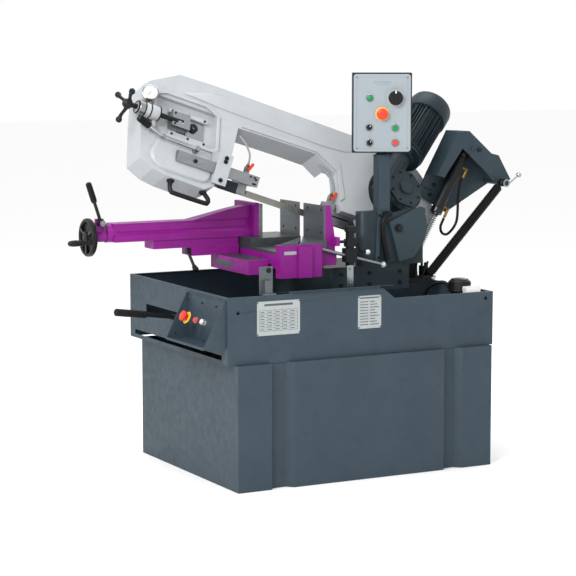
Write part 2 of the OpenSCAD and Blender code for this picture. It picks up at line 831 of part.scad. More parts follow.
function unit(v) = v / norm(v);
function along(pts, i) = unit(pts[min(i + 1, len(pts) - 1)] - pts[max(i - 1, 0)]);
function hose_ring(pts, i, r) = let (t = along(pts, i), u = unit(cross(t, [1, 0, 0])),
  v = cross(t, u)) [for (k = [0 : 7]) pts[i] + r * (cos(45 * k) * u + sin(45 * k) * v)];

module tube(pts, r) {
  n = len(pts);
  side = [for (i = [0 : n - 2]) for (k = [0 : 7]) for (h = [0, 1])
    let (a = 8 * i + k, b = 8 * i + (k + 1) % 8)
    h == 0 ? [a, a + 8, b] : [b, a + 8, b + 8]];
  caps = [[for (k = [0 : 7]) k], [for (k = [0 : 7]) 8 * n - 1 - k]];
  polyhedron(points = [for (i = [0 : n - 1]) for (q = hose_ring(pts, i, r)) q],
    faces = concat(side, caps), convexity = 4);
}

module coolant_hoses() {
  color([0.6, 0.15, 0.05]) bow() {
    tube(hose_l, 4);
    tube(hose_r, 4);
  }
}

// ---------- hydraulic strut and springs ----------
slide_z = table_z + 0.4;
up_a = 266 + datum_a;
up_c = 415 + datum_c;
up_x = hinge_x + up_a * cos(raise) + up_c * sin(raise);
up_z = hinge_z - up_a * sin(raise) + up_c * cos(raise);
foot = [460, 18, 755];
head = [up_x, 18, up_z];
axis_v = (head - foot) / norm(head - foot);
sp_a = 432 + datum_a;
sp_c = 320 + datum_c;
sp_top = [hinge_x + sp_a * cos(raise) + sp_c * sin(raise), -60,
  hinge_z - sp_a * sin(raise) + sp_c * cos(raise)];
sp_low = [486, -60, 712];
sp_v = (sp_top - sp_low) / norm(sp_top - sp_low);

module strut_barrel() {
  color([0.05, 0.05, 0.05]) {
    difference() {
      union() {
        bar(head - 24 * axis_v, head - 300 * axis_v, 23.5);
        bar(head - 24 * axis_v, head - 2 * axis_v, 14);
        translate(head - [0, 12, 0]) rotate([-90, 0, 0]) cylinder(h = 24, r = 17);
      }
      bar(head - 60 * axis_v, head - 320 * axis_v, 19);
      translate(head - [0, 20, 0]) rotate([-90, 0, 0]) cylinder(h = 40, r = 7.9 + run);
    }
  }
}

module strut_rod() {
  color([0.6, 0.6, 0.6]) difference() {
    union() {
      bar(foot + 10 * axis_v, foot + 350 * axis_v, 8);
      bar(foot + 32 * axis_v, foot + 60 * axis_v, 13);
      translate(foot - [0, 8, 0]) rotate([-90, 0, 0]) cylinder(h = 16, r = 16);
    }
    translate(foot - [0, 20, 0]) rotate([-90, 0, 0]) cylinder(h = 40, r = 7.9 + run);
  }
}

module strut_spring() {
  color([0.7, 0.7, 0.7]) difference() {
    union() {
      bar(foot + 62 * axis_v, foot + 236 * axis_v, 12);
      for (i = [0 : 17]) {
        bar(foot + (62 + 10 * i) * axis_v, foot + (66 + 10 * i) * axis_v, 15);
      }
    }
    bar(foot + 50 * axis_v, foot + 250 * axis_v, 8.3);
  }
}

module counter_spring() {
  l = norm(sp_top - sp_low);
  color([0.05, 0.05, 0.05]) difference() {
    union() {
      bar(sp_low + 8 * sp_v, sp_low + 40 * sp_v, 8);
      bar(sp_low + 24 * sp_v, sp_top - 16 * sp_v, 15);
      for (i = [0 : 29]) {
        bar(sp_low + (28 + 16 * i) * sp_v, sp_low + (36 + 16 * i) * sp_v, 19);
      }
      translate(sp_low - [0, 5, 0]) rotate([-90, 0, 0]) cylinder(h = 10, r = 12);
      translate(sp_top - [0, 5, 0]) rotate([-90, 0, 0]) cylinder(h = 10, r = 18);
    }
    translate(sp_low - [0, 15, 0]) rotate([-90, 0, 0]) cylinder(h = 30, r = 6 + run);
    translate(sp_top - [0, 15, 0]) rotate([-90, 0, 0]) cylinder(h = 30, r = 9.9 + run);
  }
}

// ---------- vise ----------
module vise_carriage() {
  color([0.50, 0.10, 0.47]) difference() {
    union() {
      box(-470, -262, 150, 245, 832.2, 868);
      box(-635, -262, 155, 240, 866, slide_z - 0.3);
      box(-500, -455, screw_y - 28, screw_y + 28, 890, 945);
    }
    translate([-510, screw_y, screw_z]) rotate([0, 90, 0]) cylinder(h = 80, r = 12 + run);
  }
}

module vise_arm() {
  color([0.50, 0.10, 0.47]) difference() {
    union() {
      xplate(-800, -200) polygon([[150, slide_z], [245, slide_z], [245, 924], [235, 937],
        [235, 972], [160, 972], [160, 937], [150, 924]]);
      translate([-822, screw_y, screw_z + 14]) rotate([0, 90, 0]) cylinder(h = 30, r = 37);
      yplate(160, 235) polygon([[-470, 970], [-200, 970], [-200, 1024], [-290, 1008]]);
      box(-208, -188, 120, 298, 902, 1034);
      translate([-864, screw_y, screw_z]) rotate([0, 90, 0]) cylinder(h = 46, r = 20);
      box(-861, -829, 190.3, 206, 925, 992);
      translate([-845, 162, 976]) rotate([-90, 0, 0]) cylinder(h = 32, r = 5);
    }
    box(-795, -280, screw_y - 30, screw_y + 30, 880, 955);
    translate([-870, screw_y, screw_z]) rotate([0, 90, 0]) cylinder(h = 90, r = 12 + run);
  }
}

module vise_jaw() {
  color([0.7, 0.71, 0.72]) box(-188, -171, 120, 298, 901, 1030);
}

module handwheel() {
  color([0.08, 0.08, 0.08]) translate([0, screw_y, screw_z]) {
    translate([-905, 0, 0]) rotate([0, 90, 0]) cylinder(h = 605, r = 12);
    translate([-902, 0, 0]) rotate([0, 90, 0]) difference() {
      cylinder(h = 22, r = handwheel_r);
      translate([0, 0, -1]) cylinder(h = 12, r1 = handwheel_r - 12, r2 = 40);
      translate([0, 0, 12]) cylinder(h = 20, r1 = 52, r2 = handwheel_r - 10);
    }
    translate([-906, 0, 0]) rotate([0, 90, 0]) cylinder(h = 40, r = 22);
    translate([-908, -60, -14]) rotate([0, 90, 0]) cylinder(h = 14, r = 10);
    translate([-1000, -60, -14]) rotate([0, 90, 0]) cylinder(h = 98, r = 4);
  }
}

module crank_handle() {
  color([0.05, 0.05, 0.05]) translate([-998, screw_y - 60, screw_z - 14]) rotate([0, 90, 0])
    difference() {
    union() {
      cylinder(h = 88, r1 = 10, r2 = 8);
      cylinder(h = 24, r1 = 9, r2 = 12.5);
      translate([0, 0, 24]) cylinder(h = 24, r1 = 12.5, r2 = 9);
    }
    translate([0, 0, -5]) cylinder(h = 110, r = 4 + run);
  }
}

module clamp_lever() {
  color([0.05, 0.05, 0.05]) difference() {
    union() {
      translate([-845, 166, 976]) rotate([-90, 0, 0]) cylinder(h = 24, r = 14);
      bar([-845, 178, 976], [-880, 178, 1082.5], 6.5);
      bar([-872, 178, 1058], [-894, 178, 1125], 11);
    }
    translate([-845, 160, 976]) rotate([-90, 0, 0]) cylinder(h = 34, r = 5 + run);
  }
}

module carriage_lever() {
  color([0.1, 0.1, 0.1]) {
    translate([-486, 170, 850]) rotate([0, 90, 0]) cylinder(h = 15.7, r = 12);
    bar([-478, 168, 846], [-470, 128, 790], 6);
    translate([-470, 128, 790]) sphere(r = 10);
  }
}

pedestal();
tray();
control_wedge();
wedge_estop();
wedge_button_red();
wedge_button_white();
turret_column();
vise_bed();
worktable();
fixed_jaws();
stop_stand();
stop_rod();
stop_lever();
post_bracket();
drip_sheet();
coolant_pump();
lock_lever();
turret_casting();
pivot_cover();
pivot_shaft();
panel_post();
strut_foot();
panel_box();
power_knob();
panel_estop();
selector_upper();
selector_lower();
button_green();
button_red();
bow_casting();
rear_cover();
blade();
guide_clamp();
bow_handle();
tension_housing();
tension_gauge();
gearbox();
motor();
rear_bracket();
fixed_guide();
tension_block();
idler_wheel();
tension_handle();
drive_wheel();
guide_arm();
guide_rod();
valve_left();
valve_right();
coolant_hoses();
strut_barrel();
strut_rod();
strut_spring();
counter_spring();
vise_carriage();
vise_arm();
vise_jaw();
handwheel();
crank_handle();
clamp_lever();
carriage_lever();
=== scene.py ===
import json
import math

import bmesh
import bpy
from mathutils import Matrix, Vector


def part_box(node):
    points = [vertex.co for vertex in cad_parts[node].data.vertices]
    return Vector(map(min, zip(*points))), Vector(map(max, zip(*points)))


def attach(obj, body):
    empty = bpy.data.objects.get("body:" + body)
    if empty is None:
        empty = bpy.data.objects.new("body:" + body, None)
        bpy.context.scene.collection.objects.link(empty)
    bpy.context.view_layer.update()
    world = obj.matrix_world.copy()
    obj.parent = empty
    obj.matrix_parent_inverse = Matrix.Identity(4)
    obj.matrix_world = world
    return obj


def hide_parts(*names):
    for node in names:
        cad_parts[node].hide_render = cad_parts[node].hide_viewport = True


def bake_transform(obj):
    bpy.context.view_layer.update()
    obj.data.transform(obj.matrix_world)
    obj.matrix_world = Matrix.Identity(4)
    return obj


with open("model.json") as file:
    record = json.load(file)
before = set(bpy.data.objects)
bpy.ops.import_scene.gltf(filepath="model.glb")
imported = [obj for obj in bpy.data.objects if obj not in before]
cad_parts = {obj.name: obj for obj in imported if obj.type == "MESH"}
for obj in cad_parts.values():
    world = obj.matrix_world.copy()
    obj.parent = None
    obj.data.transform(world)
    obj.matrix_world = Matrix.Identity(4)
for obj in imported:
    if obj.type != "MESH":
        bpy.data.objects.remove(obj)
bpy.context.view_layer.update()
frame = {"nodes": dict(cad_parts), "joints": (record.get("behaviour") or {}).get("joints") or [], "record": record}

nodes = frame["nodes"]
joints = {j["name"]: j for j in frame["joints"]}
slot_of = {s["node"]: s["material_slot"] for s in frame["record"]["subparts"]}
MM = 0.001
RIGHT, BACK, UP = Vector((1, 0, 0)), Vector((0, 1, 0)), Vector((0, 0, 1))
DRIVE, IDLER = 12, -932  # the band wheels' axles along the bow
BAND_R = 165  # radius of the band on its wheels
TRAY_FRONT = -416  # the sheet of the tray's front wall, across the floor
BOW_FRONT, BOW_BACK = -75, 42  # the bow's two faces, along the wheels' axles


def mm(*v):
    return Vector(v) * MM


def basis(x, y, z, origin):
    m = Matrix((x, y, z)).transposed().to_4x4()
    m.translation = origin
    return m


def facing_front(*place):
    """A frame whose X is to the right and whose Y is up, seen from the operator's side."""
    return basis(RIGHT, UP, -BACK, mm(*place))


def facing_back(*place):
    return basis(RIGHT, -UP, BACK, mm(*place))


def facing_right(*place):
    return basis(BACK, UP, RIGHT, mm(*place))


def shift(*v):
    return Matrix.Translation(mm(*v))


def spin(degrees):
    return Matrix.Rotation(math.radians(degrees), 4, "Z")


# ---- frames of the moving parts
along = Vector(joints["tension_slide"]["axis"])  # along the bow, away from the tension head
across = Vector(joints["drive_spin"]["axis"])  # along the band wheels' axles
WHEELS = basis(along, across, along.cross(across), Vector((0, 0, 0)))
WHEELS.translation = Vector(joints["drive_spin"]["pos_m"]) - WHEELS.to_3x3() @ mm(DRIVE, 0, BAND_R)
BOW = basis(along, BACK, along.cross(BACK), Vector((0, 0, 0)))
BOW.translation = WHEELS.translation - BOW.to_3x3() @ mm(0, 45, -54)
out = -Vector(joints["green_push"]["axis"])  # out of the control panel's face
PANEL = basis(UP.cross(out), UP, out, Vector(joints["panel_swivel"]["pos_m"]))
PANEL.translation += out * 0.050
PANEL.translation.z = sum(c.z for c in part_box("panel_box")) / 2
slope = -Vector(joints["wedge_red_push"]["axis"])  # out of the control box's face
hinge = Vector(joints["bow_pivot"]["pos_m"])
WORLD = Matrix.Identity(4)


# ---- camera, light and floor
def set_stage():
    scene = bpy.context.scene
    cam = bpy.data.objects.new("camera", bpy.data.cameras.new("camera"))
    scene.collection.objects.link(cam)
    cam.location = (-3.959, -7.196, 1.715)
    yaw, pitch = math.radians(28.08), math.radians(7.09)
    look = Vector((math.sin(yaw) * math.cos(pitch), math.cos(yaw) * math.cos(pitch), -math.sin(pitch)))
    cam.rotation_euler = look.to_track_quat("-Z", "Y").to_euler()
    cam.data.lens = 129.2
    cam.data.sensor_width = 36
    cam.data.clip_end = 60
    scene.camera = cam
    scene.view_settings.view_transform = "Standard"
    world = bpy.data.worlds.new("studio")
    scene.world = world
    world.use_nodes = True
    background = world.node_tree.nodes["Background"]
    background.inputs["Color"].default_value = (1, 1, 1, 1)
    background.inputs["Strength"].default_value = 1.0

    def area(name, place, target, size, power, tint=(1, 1, 1)):
        lamp = bpy.data.objects.new(name, bpy.data.lights.new(name, "AREA"))
        lamp.data.shape = "RECTANGLE"
        lamp.data.size, lamp.data.size_y = size
        lamp.data.energy = power
        lamp.data.color = tint
        lamp.location = place
        lamp.rotation_euler = (Vector(target) - Vector(place)).to_track_quat("-Z", "Y").to_euler()
        scene.collection.objects.link(lamp)

    area("key", (-3.6, -2.6, 3.4), (-0.1, 0, 0.8), (2.2, 1.6), 215)
    area("front", (0.8, -4.6, 2.2), (0.1, 0, 0.7), (2.6, 2.0), 8)
    area("top", (0.2, 0.6, 4.0), (0, 0, 0.8), (3.0, 2.4), 60)
    area("rim", (3.2, 2.2, 2.6), (0.2, 0, 0.9), (1.8, 1.8), 25)


# ---- materials
def linear(code):
    values = [int(code[i:i + 2], 16) / 255 for i in (1, 3, 5)]
    return tuple(v / 12.92 if v < 0.04045 else ((v + 0.055) / 1.055) ** 2.4 for v in values)


MATS = {}


def material(name, code, rough, metal=0.0, vary=0.08, grain=0.0, grain_scale=900.0, rough_vary=0.08,
             dirt=None, dirt_amount=0.0, streak=None, scratch=0.0, shine=0.5):
    """A procedural finish: patchy colour and roughness, fine grain in the bump, dirt, scratches."""
    mat = bpy.data.materials.new(name)
    mat.use_nodes = True
    tree = mat.node_tree
    shader = tree.nodes["Principled BSDF"]
    shader.inputs["Metallic"].default_value = metal
    shader.inputs["Specular IOR Level"].default_value = shine

    def new(kind, settings):
        node = tree.nodes.new("ShaderNode" + kind)
        for socket, value in settings.items():
            node.inputs[socket].default_value = value
        return node

    place = new("TexCoord", {}).outputs["Object"]
    if streak:
        stretch = new("Mapping", {"Scale": streak})
        tree.links.new(place, stretch.inputs["Vector"])
        place = stretch.outputs["Vector"]

    def noise(scale, detail=3.0, rough_mix=0.55):
        node = new("TexNoise", {"Scale": scale, "Detail": detail, "Roughness": rough_mix})
        tree.links.new(place, node.inputs["Vector"])
        return node.outputs["Fac"]

    def ramp(source, low, high, low_at=0.3, high_at=0.7):
        node = new("MapRange", {"From Min": low_at, "From Max": high_at, "To Min": low, "To Max": high})
        tree.links.new(source, node.inputs["Value"])
        return node.outputs["Result"]

    def mix(factor, first, second):
        node = new("Mix", {})
        node.data_type = "RGBA"
        tree.links.new(factor, node.inputs["Factor"])
        for socket, value in ((node.inputs["A"], first), (node.inputs["B"], second)):
            if isinstance(value, tuple):
                socket.default_value = (*value, 1)
            else:
                tree.links.new(value, socket)
        return node.outputs["Result"]

    base = linear(code)
    dark = tuple(c * (1 - vary) for c in base)
    light = tuple(min(1, c * (1 + vary)) for c in base)
    colour = mix(ramp(noise(7.0), 0, 1), dark, light)
    if dirt:
        spots = ramp(noise(23.0, 6.0, 0.7), 0, dirt_amount, 0.52, 0.74)
        colour = mix(spots, colour, linear(dirt))
    if scratch:
        marks = ramp(noise(140.0, 2.0, 0.4), 0, scratch, 0.60, 0.68)
        colour = mix(marks, colour, tuple(min(1, c * 1.5 + 0.03) for c in base))
    tree.links.new(colour, shader.inputs["Base Color"])
    tree.links.new(ramp(noise(35.0), rough - rough_vary, rough + rough_vary),
                   shader.inputs["Roughness"])
    if grain:
        bump = new("Bump", {"Strength": grain, "Distance": 0.0006})
        tree.links.new(noise(grain_scale, 4.0), bump.inputs["Height"])
        tree.links.new(bump.outputs["Normal"], shader.inputs["Normal"])
    MATS[name] = mat


material("base_paint", "#323f48", 0.50, grain=0.10, grain_scale=700,
         vary=0.06, dirt="#252f36", dirt_amount=0.35, shine=0.22)
material("dark_paint", "#222e33", 0.48, grain=0.35, grain_scale=260,
         vary=0.10, dirt="#151c20", dirt_amount=0.4, shine=0.25)
material("sheet_dark", "#2b3940", 0.46, grain=0.10, grain_scale=650,
         vary=0.06, dirt="#1b252b", dirt_amount=0.3, shine=0.25)
material("motor_paint", "#1c2a31", 0.44, grain=0.15, grain_scale=500, vary=0.08, shine=0.25)
material("purple_paint", "#7d1679", 0.40, grain=0.30, grain_scale=220,
         vary=0.09, dirt="#4c0c4c", dirt_amount=0.35, shine=0.25)
material("bow_paint", "#9fa3a6", 0.42, grain=0.22, grain_scale=180,
         vary=0.05, dirt="#8d9295", dirt_amount=0.35, shine=0.35)
material("steel", "#84888a", 0.34, metal=0.85, grain=0.12, grain_scale=400,
         vary=0.10, streak=(1, 1, 9), scratch=0.25)
material("dark_steel", "#1c1f21", 0.45, metal=0.4, grain=0.2,
         grain_scale=350, vary=0.15, scratch=0.12, shine=0.25)
material("table_steel", "#4b5153", 0.38, metal=0.6, grain=0.15,
         grain_scale=300, vary=0.14, streak=(1, 9, 1), scratch=0.3)
material("jaw_steel", "#595f63", 0.36, metal=0.65, grain=0.12,
         grain_scale=300, vary=0.10, streak=(1, 1, 7), scratch=0.2)
material("blade_steel", "#85857f", 0.30, metal=0.8, grain=0.08,
         vary=0.08, streak=(9, 1, 1), scratch=0.2)
material("chromed", "#9b9fa2", 0.20, metal=1.0, vary=0.06, rough_vary=0.06)
material("brass", "#806532", 0.34, metal=0.9, vary=0.15, grain=0.1)
material("black_plastic", "#0d0e0f", 0.42, grain=0.18, grain_scale=900, vary=0.15, shine=0.25)
material("black_rubber", "#0a0a0b", 0.55, grain=0.3, grain_scale=700, vary=0.2, shine=0.2)
material("white_plastic", "#c9cbcc", 0.35, grain=0.08, vary=0.03)
material("panel_paint", "#171b1e", 0.45, grain=0.1, vary=0.05, shine=0.25)
material("panel_face", "#8b9399", 0.45, grain=0.05, vary=0.03, shine=0.3)
material("panel_line", "#7c848b", 0.5, vary=0.05)
material("print_dark", "#40464a", 0.5, vary=0.1)
material("plate_metal", "#9da2a2", 0.40, metal=0.3, grain=0.08, vary=0.05, streak=(7, 1, 1))
material("red_plastic", "#c43826", 0.36, grain=0.05, vary=0.06, shine=0.3)
material("yellow_plastic", "#d8a41c", 0.40, grain=0.05, vary=0.04, shine=0.3)
material("green_plastic", "#067a3e", 0.32, vary=0.06, shine=0.35)
material("hose", "#7b7f81", 0.40, vary=0.08, grain=0.05, shine=0.3)
material("black_gloss", "#08080a", 0.28, vary=0.1, shine=0.4)

# Nodes whose finish is not that of their slot.
NODE_FINISH = {"worktable": "table_steel", "fixed_jaws": "jaw_steel",
               "panel_estop": "red_plastic", "tension_housing": "bow_paint",
               "post_bracket": "jaw_steel"}


def add_bevel(obj, width, degrees):
    bevel = obj.modifiers.new("bevel", "BEVEL")
    bevel.width = width * MM
    bevel.segments = 2
    bevel.limit_method = "ANGLE"
    bevel.angle_limit = math.radians(degrees)
    bevel.harden_normals = True


def finish_nodes():
    """Better materials, and a small bevel on the hard edges, for the carried-over solids."""
    soft = {"bow_casting": 3.0, "vise_bed": 2.5, "vise_arm": 3.0, "vise_carriage": 2.5,
            "turret_casting": 4.0, "gearbox": 2.0, "guide_clamp": 3.0, "panel_box": 2.5}
    for name, node in nodes.items():
        finish = NODE_FINISH.get(name, slot_of[name])
        for s in node.material_slots:
            s.material = MATS[finish]
        if name in ("blade", "strut_rod"):
            continue
        weld = node.modifiers.new("weld", "WELD")
        weld.merge_threshold = 0.00002
        add_bevel(node, soft.get(name, 0.8), 40)


# ---- building pieces
def piece(name, shape, finish, body, bevel=0.0, replaces=()):
    """A new object from a shape, with its finish and the body it rides on."""
    mesh_data = bpy.data.meshes.new(name)
    mesh_data.from_pydata([tuple(v) for v in shape.verts], [], shape.faces)
    bm = bmesh.new()
    bm.from_mesh(mesh_data)
    bmesh.ops.remove_doubles(bm, verts=bm.verts, dist=1e-6)
    bmesh.ops.recalc_face_normals(bm, faces=bm.faces)
    bm.to_mesh(mesh_data)
    bm.free()
    for f in mesh_data.polygons:
        f.use_smooth = True
    mesh_data.set_sharp_from_angle(angle=math.radians(35))
    obj = bpy.data.objects.new(name, mesh_data)
    bpy.context.scene.collection.objects.link(obj)
    obj.data.materials.append(MATS[finish])
    if bevel:
        add_bevel(obj, bevel, 35)
    if body:
        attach(obj, body)
    if replaces:
        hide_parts(*replaces)
    return obj


class Shape:
    """Collects parts in millimetres in one frame, and makes one mesh of them."""

    def __init__(self, frame_matrix=WORLD):
        self.m = frame_matrix
        self.verts = []
        self.faces = []

    def add(self, verts, faces, local=None):
        start = len(self.verts)
        m = self.m if local is None else self.m @ local
        self.verts += [m @ (Vector(v) * MM) for v in verts]
        self.faces += [[start + i for i in f] for f in faces]
        return self

    def prism(self, outline, low, high, local=None):
        """outline in the local XY plane, from low to high along local Z."""
        n = len(outline)
        verts = [(x, y, z) for z in (low, high) for x, y in outline]
        faces = [list(range(n))[::-1], list(range(n, 2 * n))]
        faces += [[i, (i + 1) % n, n + (i + 1) % n, n + i] for i in range(n)]
        return self.add(verts, faces, local)

    def block(self, x0, x1, y0, y1, z0, z1, local=None):
        return self.prism([(x0, y0), (x1, y0), (x1, y1), (x0, y1)], z0, z1, local)

    def lathe(self, profile, local=None, steps=40, closed=False):
        """profile of (radius, height) pairs turned about local Z."""
        n = len(profile)
        verts, faces = [], []
        for i in range(steps):
            a = 2 * math.pi * i / steps
            verts += [(r * math.cos(a), r * math.sin(a), z) for r, z in profile]
            j = (i + 1) % steps
            faces += [[i * n + k, j * n + k, j * n + (k + 1) % n, i * n + (k + 1) % n]
                      for k in range(n if closed else n - 1)]
        if not closed and profile[0][0] > 0:
            faces.append([i * n for i in range(steps)][::-1])
        if not closed and profile[-1][0] > 0:
            faces.append([i * n + n - 1 for i in range(steps)])
        return self.add(verts, faces, local)

    def ring(self, profile, local=None, steps=40):
        """A closed profile of (radius, height) pairs turned about local Z."""
        return self.lathe(profile, local, steps, closed=True)

    def disc(self, r, low, high, local=None, steps=40):
        return self.lathe([(r, low), (r, high), (0.01, high)], local, steps)

    def washer(self, r0, r1, low, high, local=None, steps=40):
        return self.ring([(r0, low), (r1, low), (r1, high), (r0, high)], local, steps)

    def tube(self, points, radius, sides=12):
        """A round bar along points; radius may be a function of the share of the way."""
        pts = [Vector(p) for p in points]
        verts, faces = [], []
        previous = None
        for i, p in enumerate(pts):
            t = (pts[min(i + 1, len(pts) - 1)] - pts[max(i - 1, 0)]).normalized()
            if previous is None:
                helper = Vector((0, 0, 1)) if abs(t.z) < 0.9 else Vector((1, 0, 0))
                u = t.cross(helper).normalized()
            else:
                u = (previous - t * previous.dot(t)).normalized()
            previous = u
            v = t.cross(u)
            r = radius(i / (len(pts) - 1)) if callable(radius) else radius
            verts += [p + r * (math.cos(2 * math.pi * k / sides) * u
                               + math.sin(2 * math.pi * k / sides) * v) for k in range(sides)]
        for i in range(len(pts) - 1):
            faces += [[i * sides + k, i * sides + (k + 1) % sides, (i + 1) * sides + (k + 1) % sides,
                       (i + 1) * sides + k] for k in range(sides)]
        faces.append(list(range(sides))[::-1])
        faces.append([(len(pts) - 1) * sides + k for k in range(sides)])
        return self.add(verts, faces)


def at(place, normal=(0, 0, 1)):
    """A frame at place, in millimetres, whose Z axis is normal."""
    turn = Vector(normal).to_track_quat("Z", "X").to_matrix().to_4x4()
    return shift(*place) @ turn


def spread(points, step=3.0):
    """A smooth curve through points, as many points a step apart."""
    pts = [Vector(p) for p in points]
    pts = [2 * pts[0] - pts[1]] + pts + [2 * pts[-1] - pts[-2]]
    result = []
    for a, b, c, d in zip(pts, pts[1:], pts[2:], pts[3:]):
        n = max(2, int((c - b).length / step))
        for i in range(n):
            t = i / n
            result.append(0.5 * ((2 * b) + (c - a) * t + (2 * a - 5 * b + 4 * c - d) * t * t
                                 + (3 * b - 3 * c + d - a) * t ** 3))
    return result + [pts[-2]]


def circle(radius, count, start=0.0):
    return [(radius * math.cos(start + 2 * math.pi * i / count),
             radius * math.sin(start + 2 * math.pi * i / count)) for i in range(count)]


def rounded(w, h, r, count=6):
    """A rectangle of w by h with round corners."""
    pts = []
    for cx, cy, a0 in ((1, 1, 0), (-1, 1, 90), (-1, -1, 180), (1, -1, 270)):
        for i in range(count + 1):
            a = math.radians(a0 + 90 * i / count)
            pts.append((cx * (w / 2 - r) + r * math.cos(a), cy * (h / 2 - r) + r * math.sin(a)))
    return pts


def cap_screw(shape, place, normal, size, height=None):
    """A socket cap screw whose head stands on place."""
    h = height or size * 0.6
    r = size * 0.5
    s = size * 0.27
    shape.lathe([(r, 0), (r, h * 0.86), (r * 0.93, h), (s * 1.05, h), (s, h - 0.2),
                 (s, h * 0.35), (0.01, h * 0.3)], at(place, normal), 24)


def hex_bolt(shape, place, normal, size, height=None):
    """A hexagon head on a washer."""
    h = height or size * 0.45
    m = at(place, normal)
    shape.disc(size * 0.78, 0, 1.6, m, 28)
    shape.prism(circle(size * 0.56, 6), 1.6, h, m)
    shape.lathe([(size * 0.46, h), (size * 0.40, h + 0.9), (0.01, h + 0.9)], m, 24)


# ---- base, tray and vise bed
def base_screws():
    screws = Shape()
    for y in (-118, -241, -362):
        cap_screw(screws, (-613, y, 698), slope, 9, 4)
    for y in (-133, -251, -378):
        cap_screw(screws, (-675, y, 576), slope, 9, 4)
    for columns, rows in (((-470, -294), (590, 709)), ((-35, 60), (588, 705))):
        for x in columns:
            for z in rows:
                screws.lathe([(2.6, 0), (2.2, 1.2), (0.01, 1.6)],
                             at((x, TRAY_FRONT - 1, z), (0, -1, 0)), 16)
    hex_bolt(screws, (-407, -385, 826), (0, -1, 0), 13)
    cap_screw(screws, (-245, -150.2, 836), (0, -1, 0), 10, 5)
    cap_screw(screws, (-262, -110.2, 812), (0, -1, 0), 12, 5)
    for k in range(6):
        a = math.radians(60 * k + 20)
        hex_bolt(screws, (-35 + 130 * math.cos(a), 45 + 130 * math.sin(a), 563), (0, 0, 1), 18)
    piece("base_screws", screws, "dark_steel", "base")


def rating_plates():
    """Two plates whose print is plain rows and lines."""
    plates = Shape()
    for x0, x1, z0, z1 in ((-473, -291, 585, 714), (-39, 64, 583, 710)):
        m = facing_front((x0 + x1) / 2, TRAY_FRONT, (z0 + z1) / 2)
        plates.prism(rounded(x1 - x0, z1 - z0, 5), 0, 1.0, m)
    piece("rating_plates", plates, "plate_metal", "base", 0.3)
    print_rows = Shape()
    front = facing_front(-382, TRAY_FRONT - 1, 650)
    for k in range(7):
        y = -48 + 13 * k
        print_rows.block(-80, 80, y - 0.5, y + 0.5, 0, 0.25, front)
        for x in range(-76, 84, 32) if k < 6 else ():
            print_rows.block(x, x + 16, y + 4.5, y + 7.5, 0, 0.25, front)
    print_rows.block(-60, 60, 46, 54, 0, 0.25, front)
    for x in range(-80, 81, 32):
        print_rows.block(x - 0.5, x + 0.5, -48, 30, 0, 0.25, front)
    front = facing_front(12, TRAY_FRONT - 1, 647)
    for k in range(9):
        y = -50 + 11 * k
        print_rows.block(-42, -6, y, y + 3, 0, 0.25, front)
        print_rows.block(2, 42 - (k % 3) * 9, y, y + 3, 0, 0.25, front)
    print_rows.block(-42, 42, 52, 57, 0, 0.25, front)
    piece("rating_print", print_rows, "print_dark", "base")
    label = Shape()
    label.prism(rounded(54, 13, 2), 0, 0.6, facing_front(-211, -190, 862))
    piece("vise_label", label, "plate_metal", "base", 0.2)


def control_box_rings():
    wedge = Shape()
    for y in (-249, -307):
        wedge.lathe([(13, 0), (13, 2), (10, 4), (9.4, 4), (9.4, 0)], at((-644.4, y, 637), slope), 32)
    piece("wedge_bezels", wedge, "chromed", "base", 0.3)
    ring = Shape()
    ring.lathe([(24, 0), (24, 1.5), (22.5, 2.5), (11.5, 2.5), (11.5, 0)],
               at((-645, -173, 637), slope), 48)
    piece("wedge_estop_ring", ring, "yellow_plastic", "base", 0.3)


def vise_bed_details():
    rail = Shape()
    rail.block(-349, -262, -100, 210, 832.0, 832.15)
    rail.block(-352.15, -352.0, 32, 172, 790, 812)
    piece("slideway_faces", rail, "table_steel", "base")
    jaw = Shape()
    for y in (-115, -5, 95, 200):
        for z in (928, 1018):
            cap_screw(jaw, (-32.2, y, z), (-1, 0, 0), 10, 2.2)
    piece("jaw_screws", jaw, "dark_steel", "base")
    scale = Shape()
    for angle in range(0, 61, 15):
        scale.block(96, 128, -0.6, 0.6, 866.5, 866.8, shift(-35, 45, 0) @ spin(180 + angle))
    piece("mitre_marks", scale, "plate_metal", "base")


def coolant_pump():
    cap = shift(476, -330, 736)
    pump = Shape(cap)
    pump.lathe([(36, 0), (33, 4), (20, 6), (0.01, 6.5)])
    for k in range(16):
        pump.block(42.5, 45.5, -1.6, 1.6, -36, -8, spin(22.5 * k))
    piece("pump_cap", pump, "black_gloss", "base", 0.5)
    box = Shape()
    m = facing_front(493, -372, 694)
    box.prism(rounded(62, 40, 5), 0, 36, m)
    box.prism(rounded(66, 44, 6), 30, 34, m)
    piece("pump_terminal_box", box, "white_plastic", "base", 0.8)
    pipe = Shape()
    pipe.tube(spread([(455, -300, 690), (440, -280, 720), (415, -250, 716), (398, -215, 690),
                      (392, -190, 640), (392, -180, 560), (392, -178, 545)], 8), 7, 12)
    piece("pump_hose", pipe, "black_rubber", "base")


def lock_lever_grip():
    start, end = Vector((-724, 45, 627.5)), Vector((-845, 45, 643.85))
    length = (end - start).length
    count = 14
    pitch = length / count
    profile = [(0.01, 0), (12, 0)]
    for i in range(count):
        z = pitch * i
        profile += [(14.6, z + 1), (14.6, z + pitch * 0.55), (13.6, z + pitch * 0.75)]
    profile += [(14, length), (9, length + 4), (0.01, length + 5)]
    grip = Shape()
    grip.lathe(profile, at(start, end - start), 24)
    piece("lock_lever_grip", grip, "black_rubber", "lock_lever")


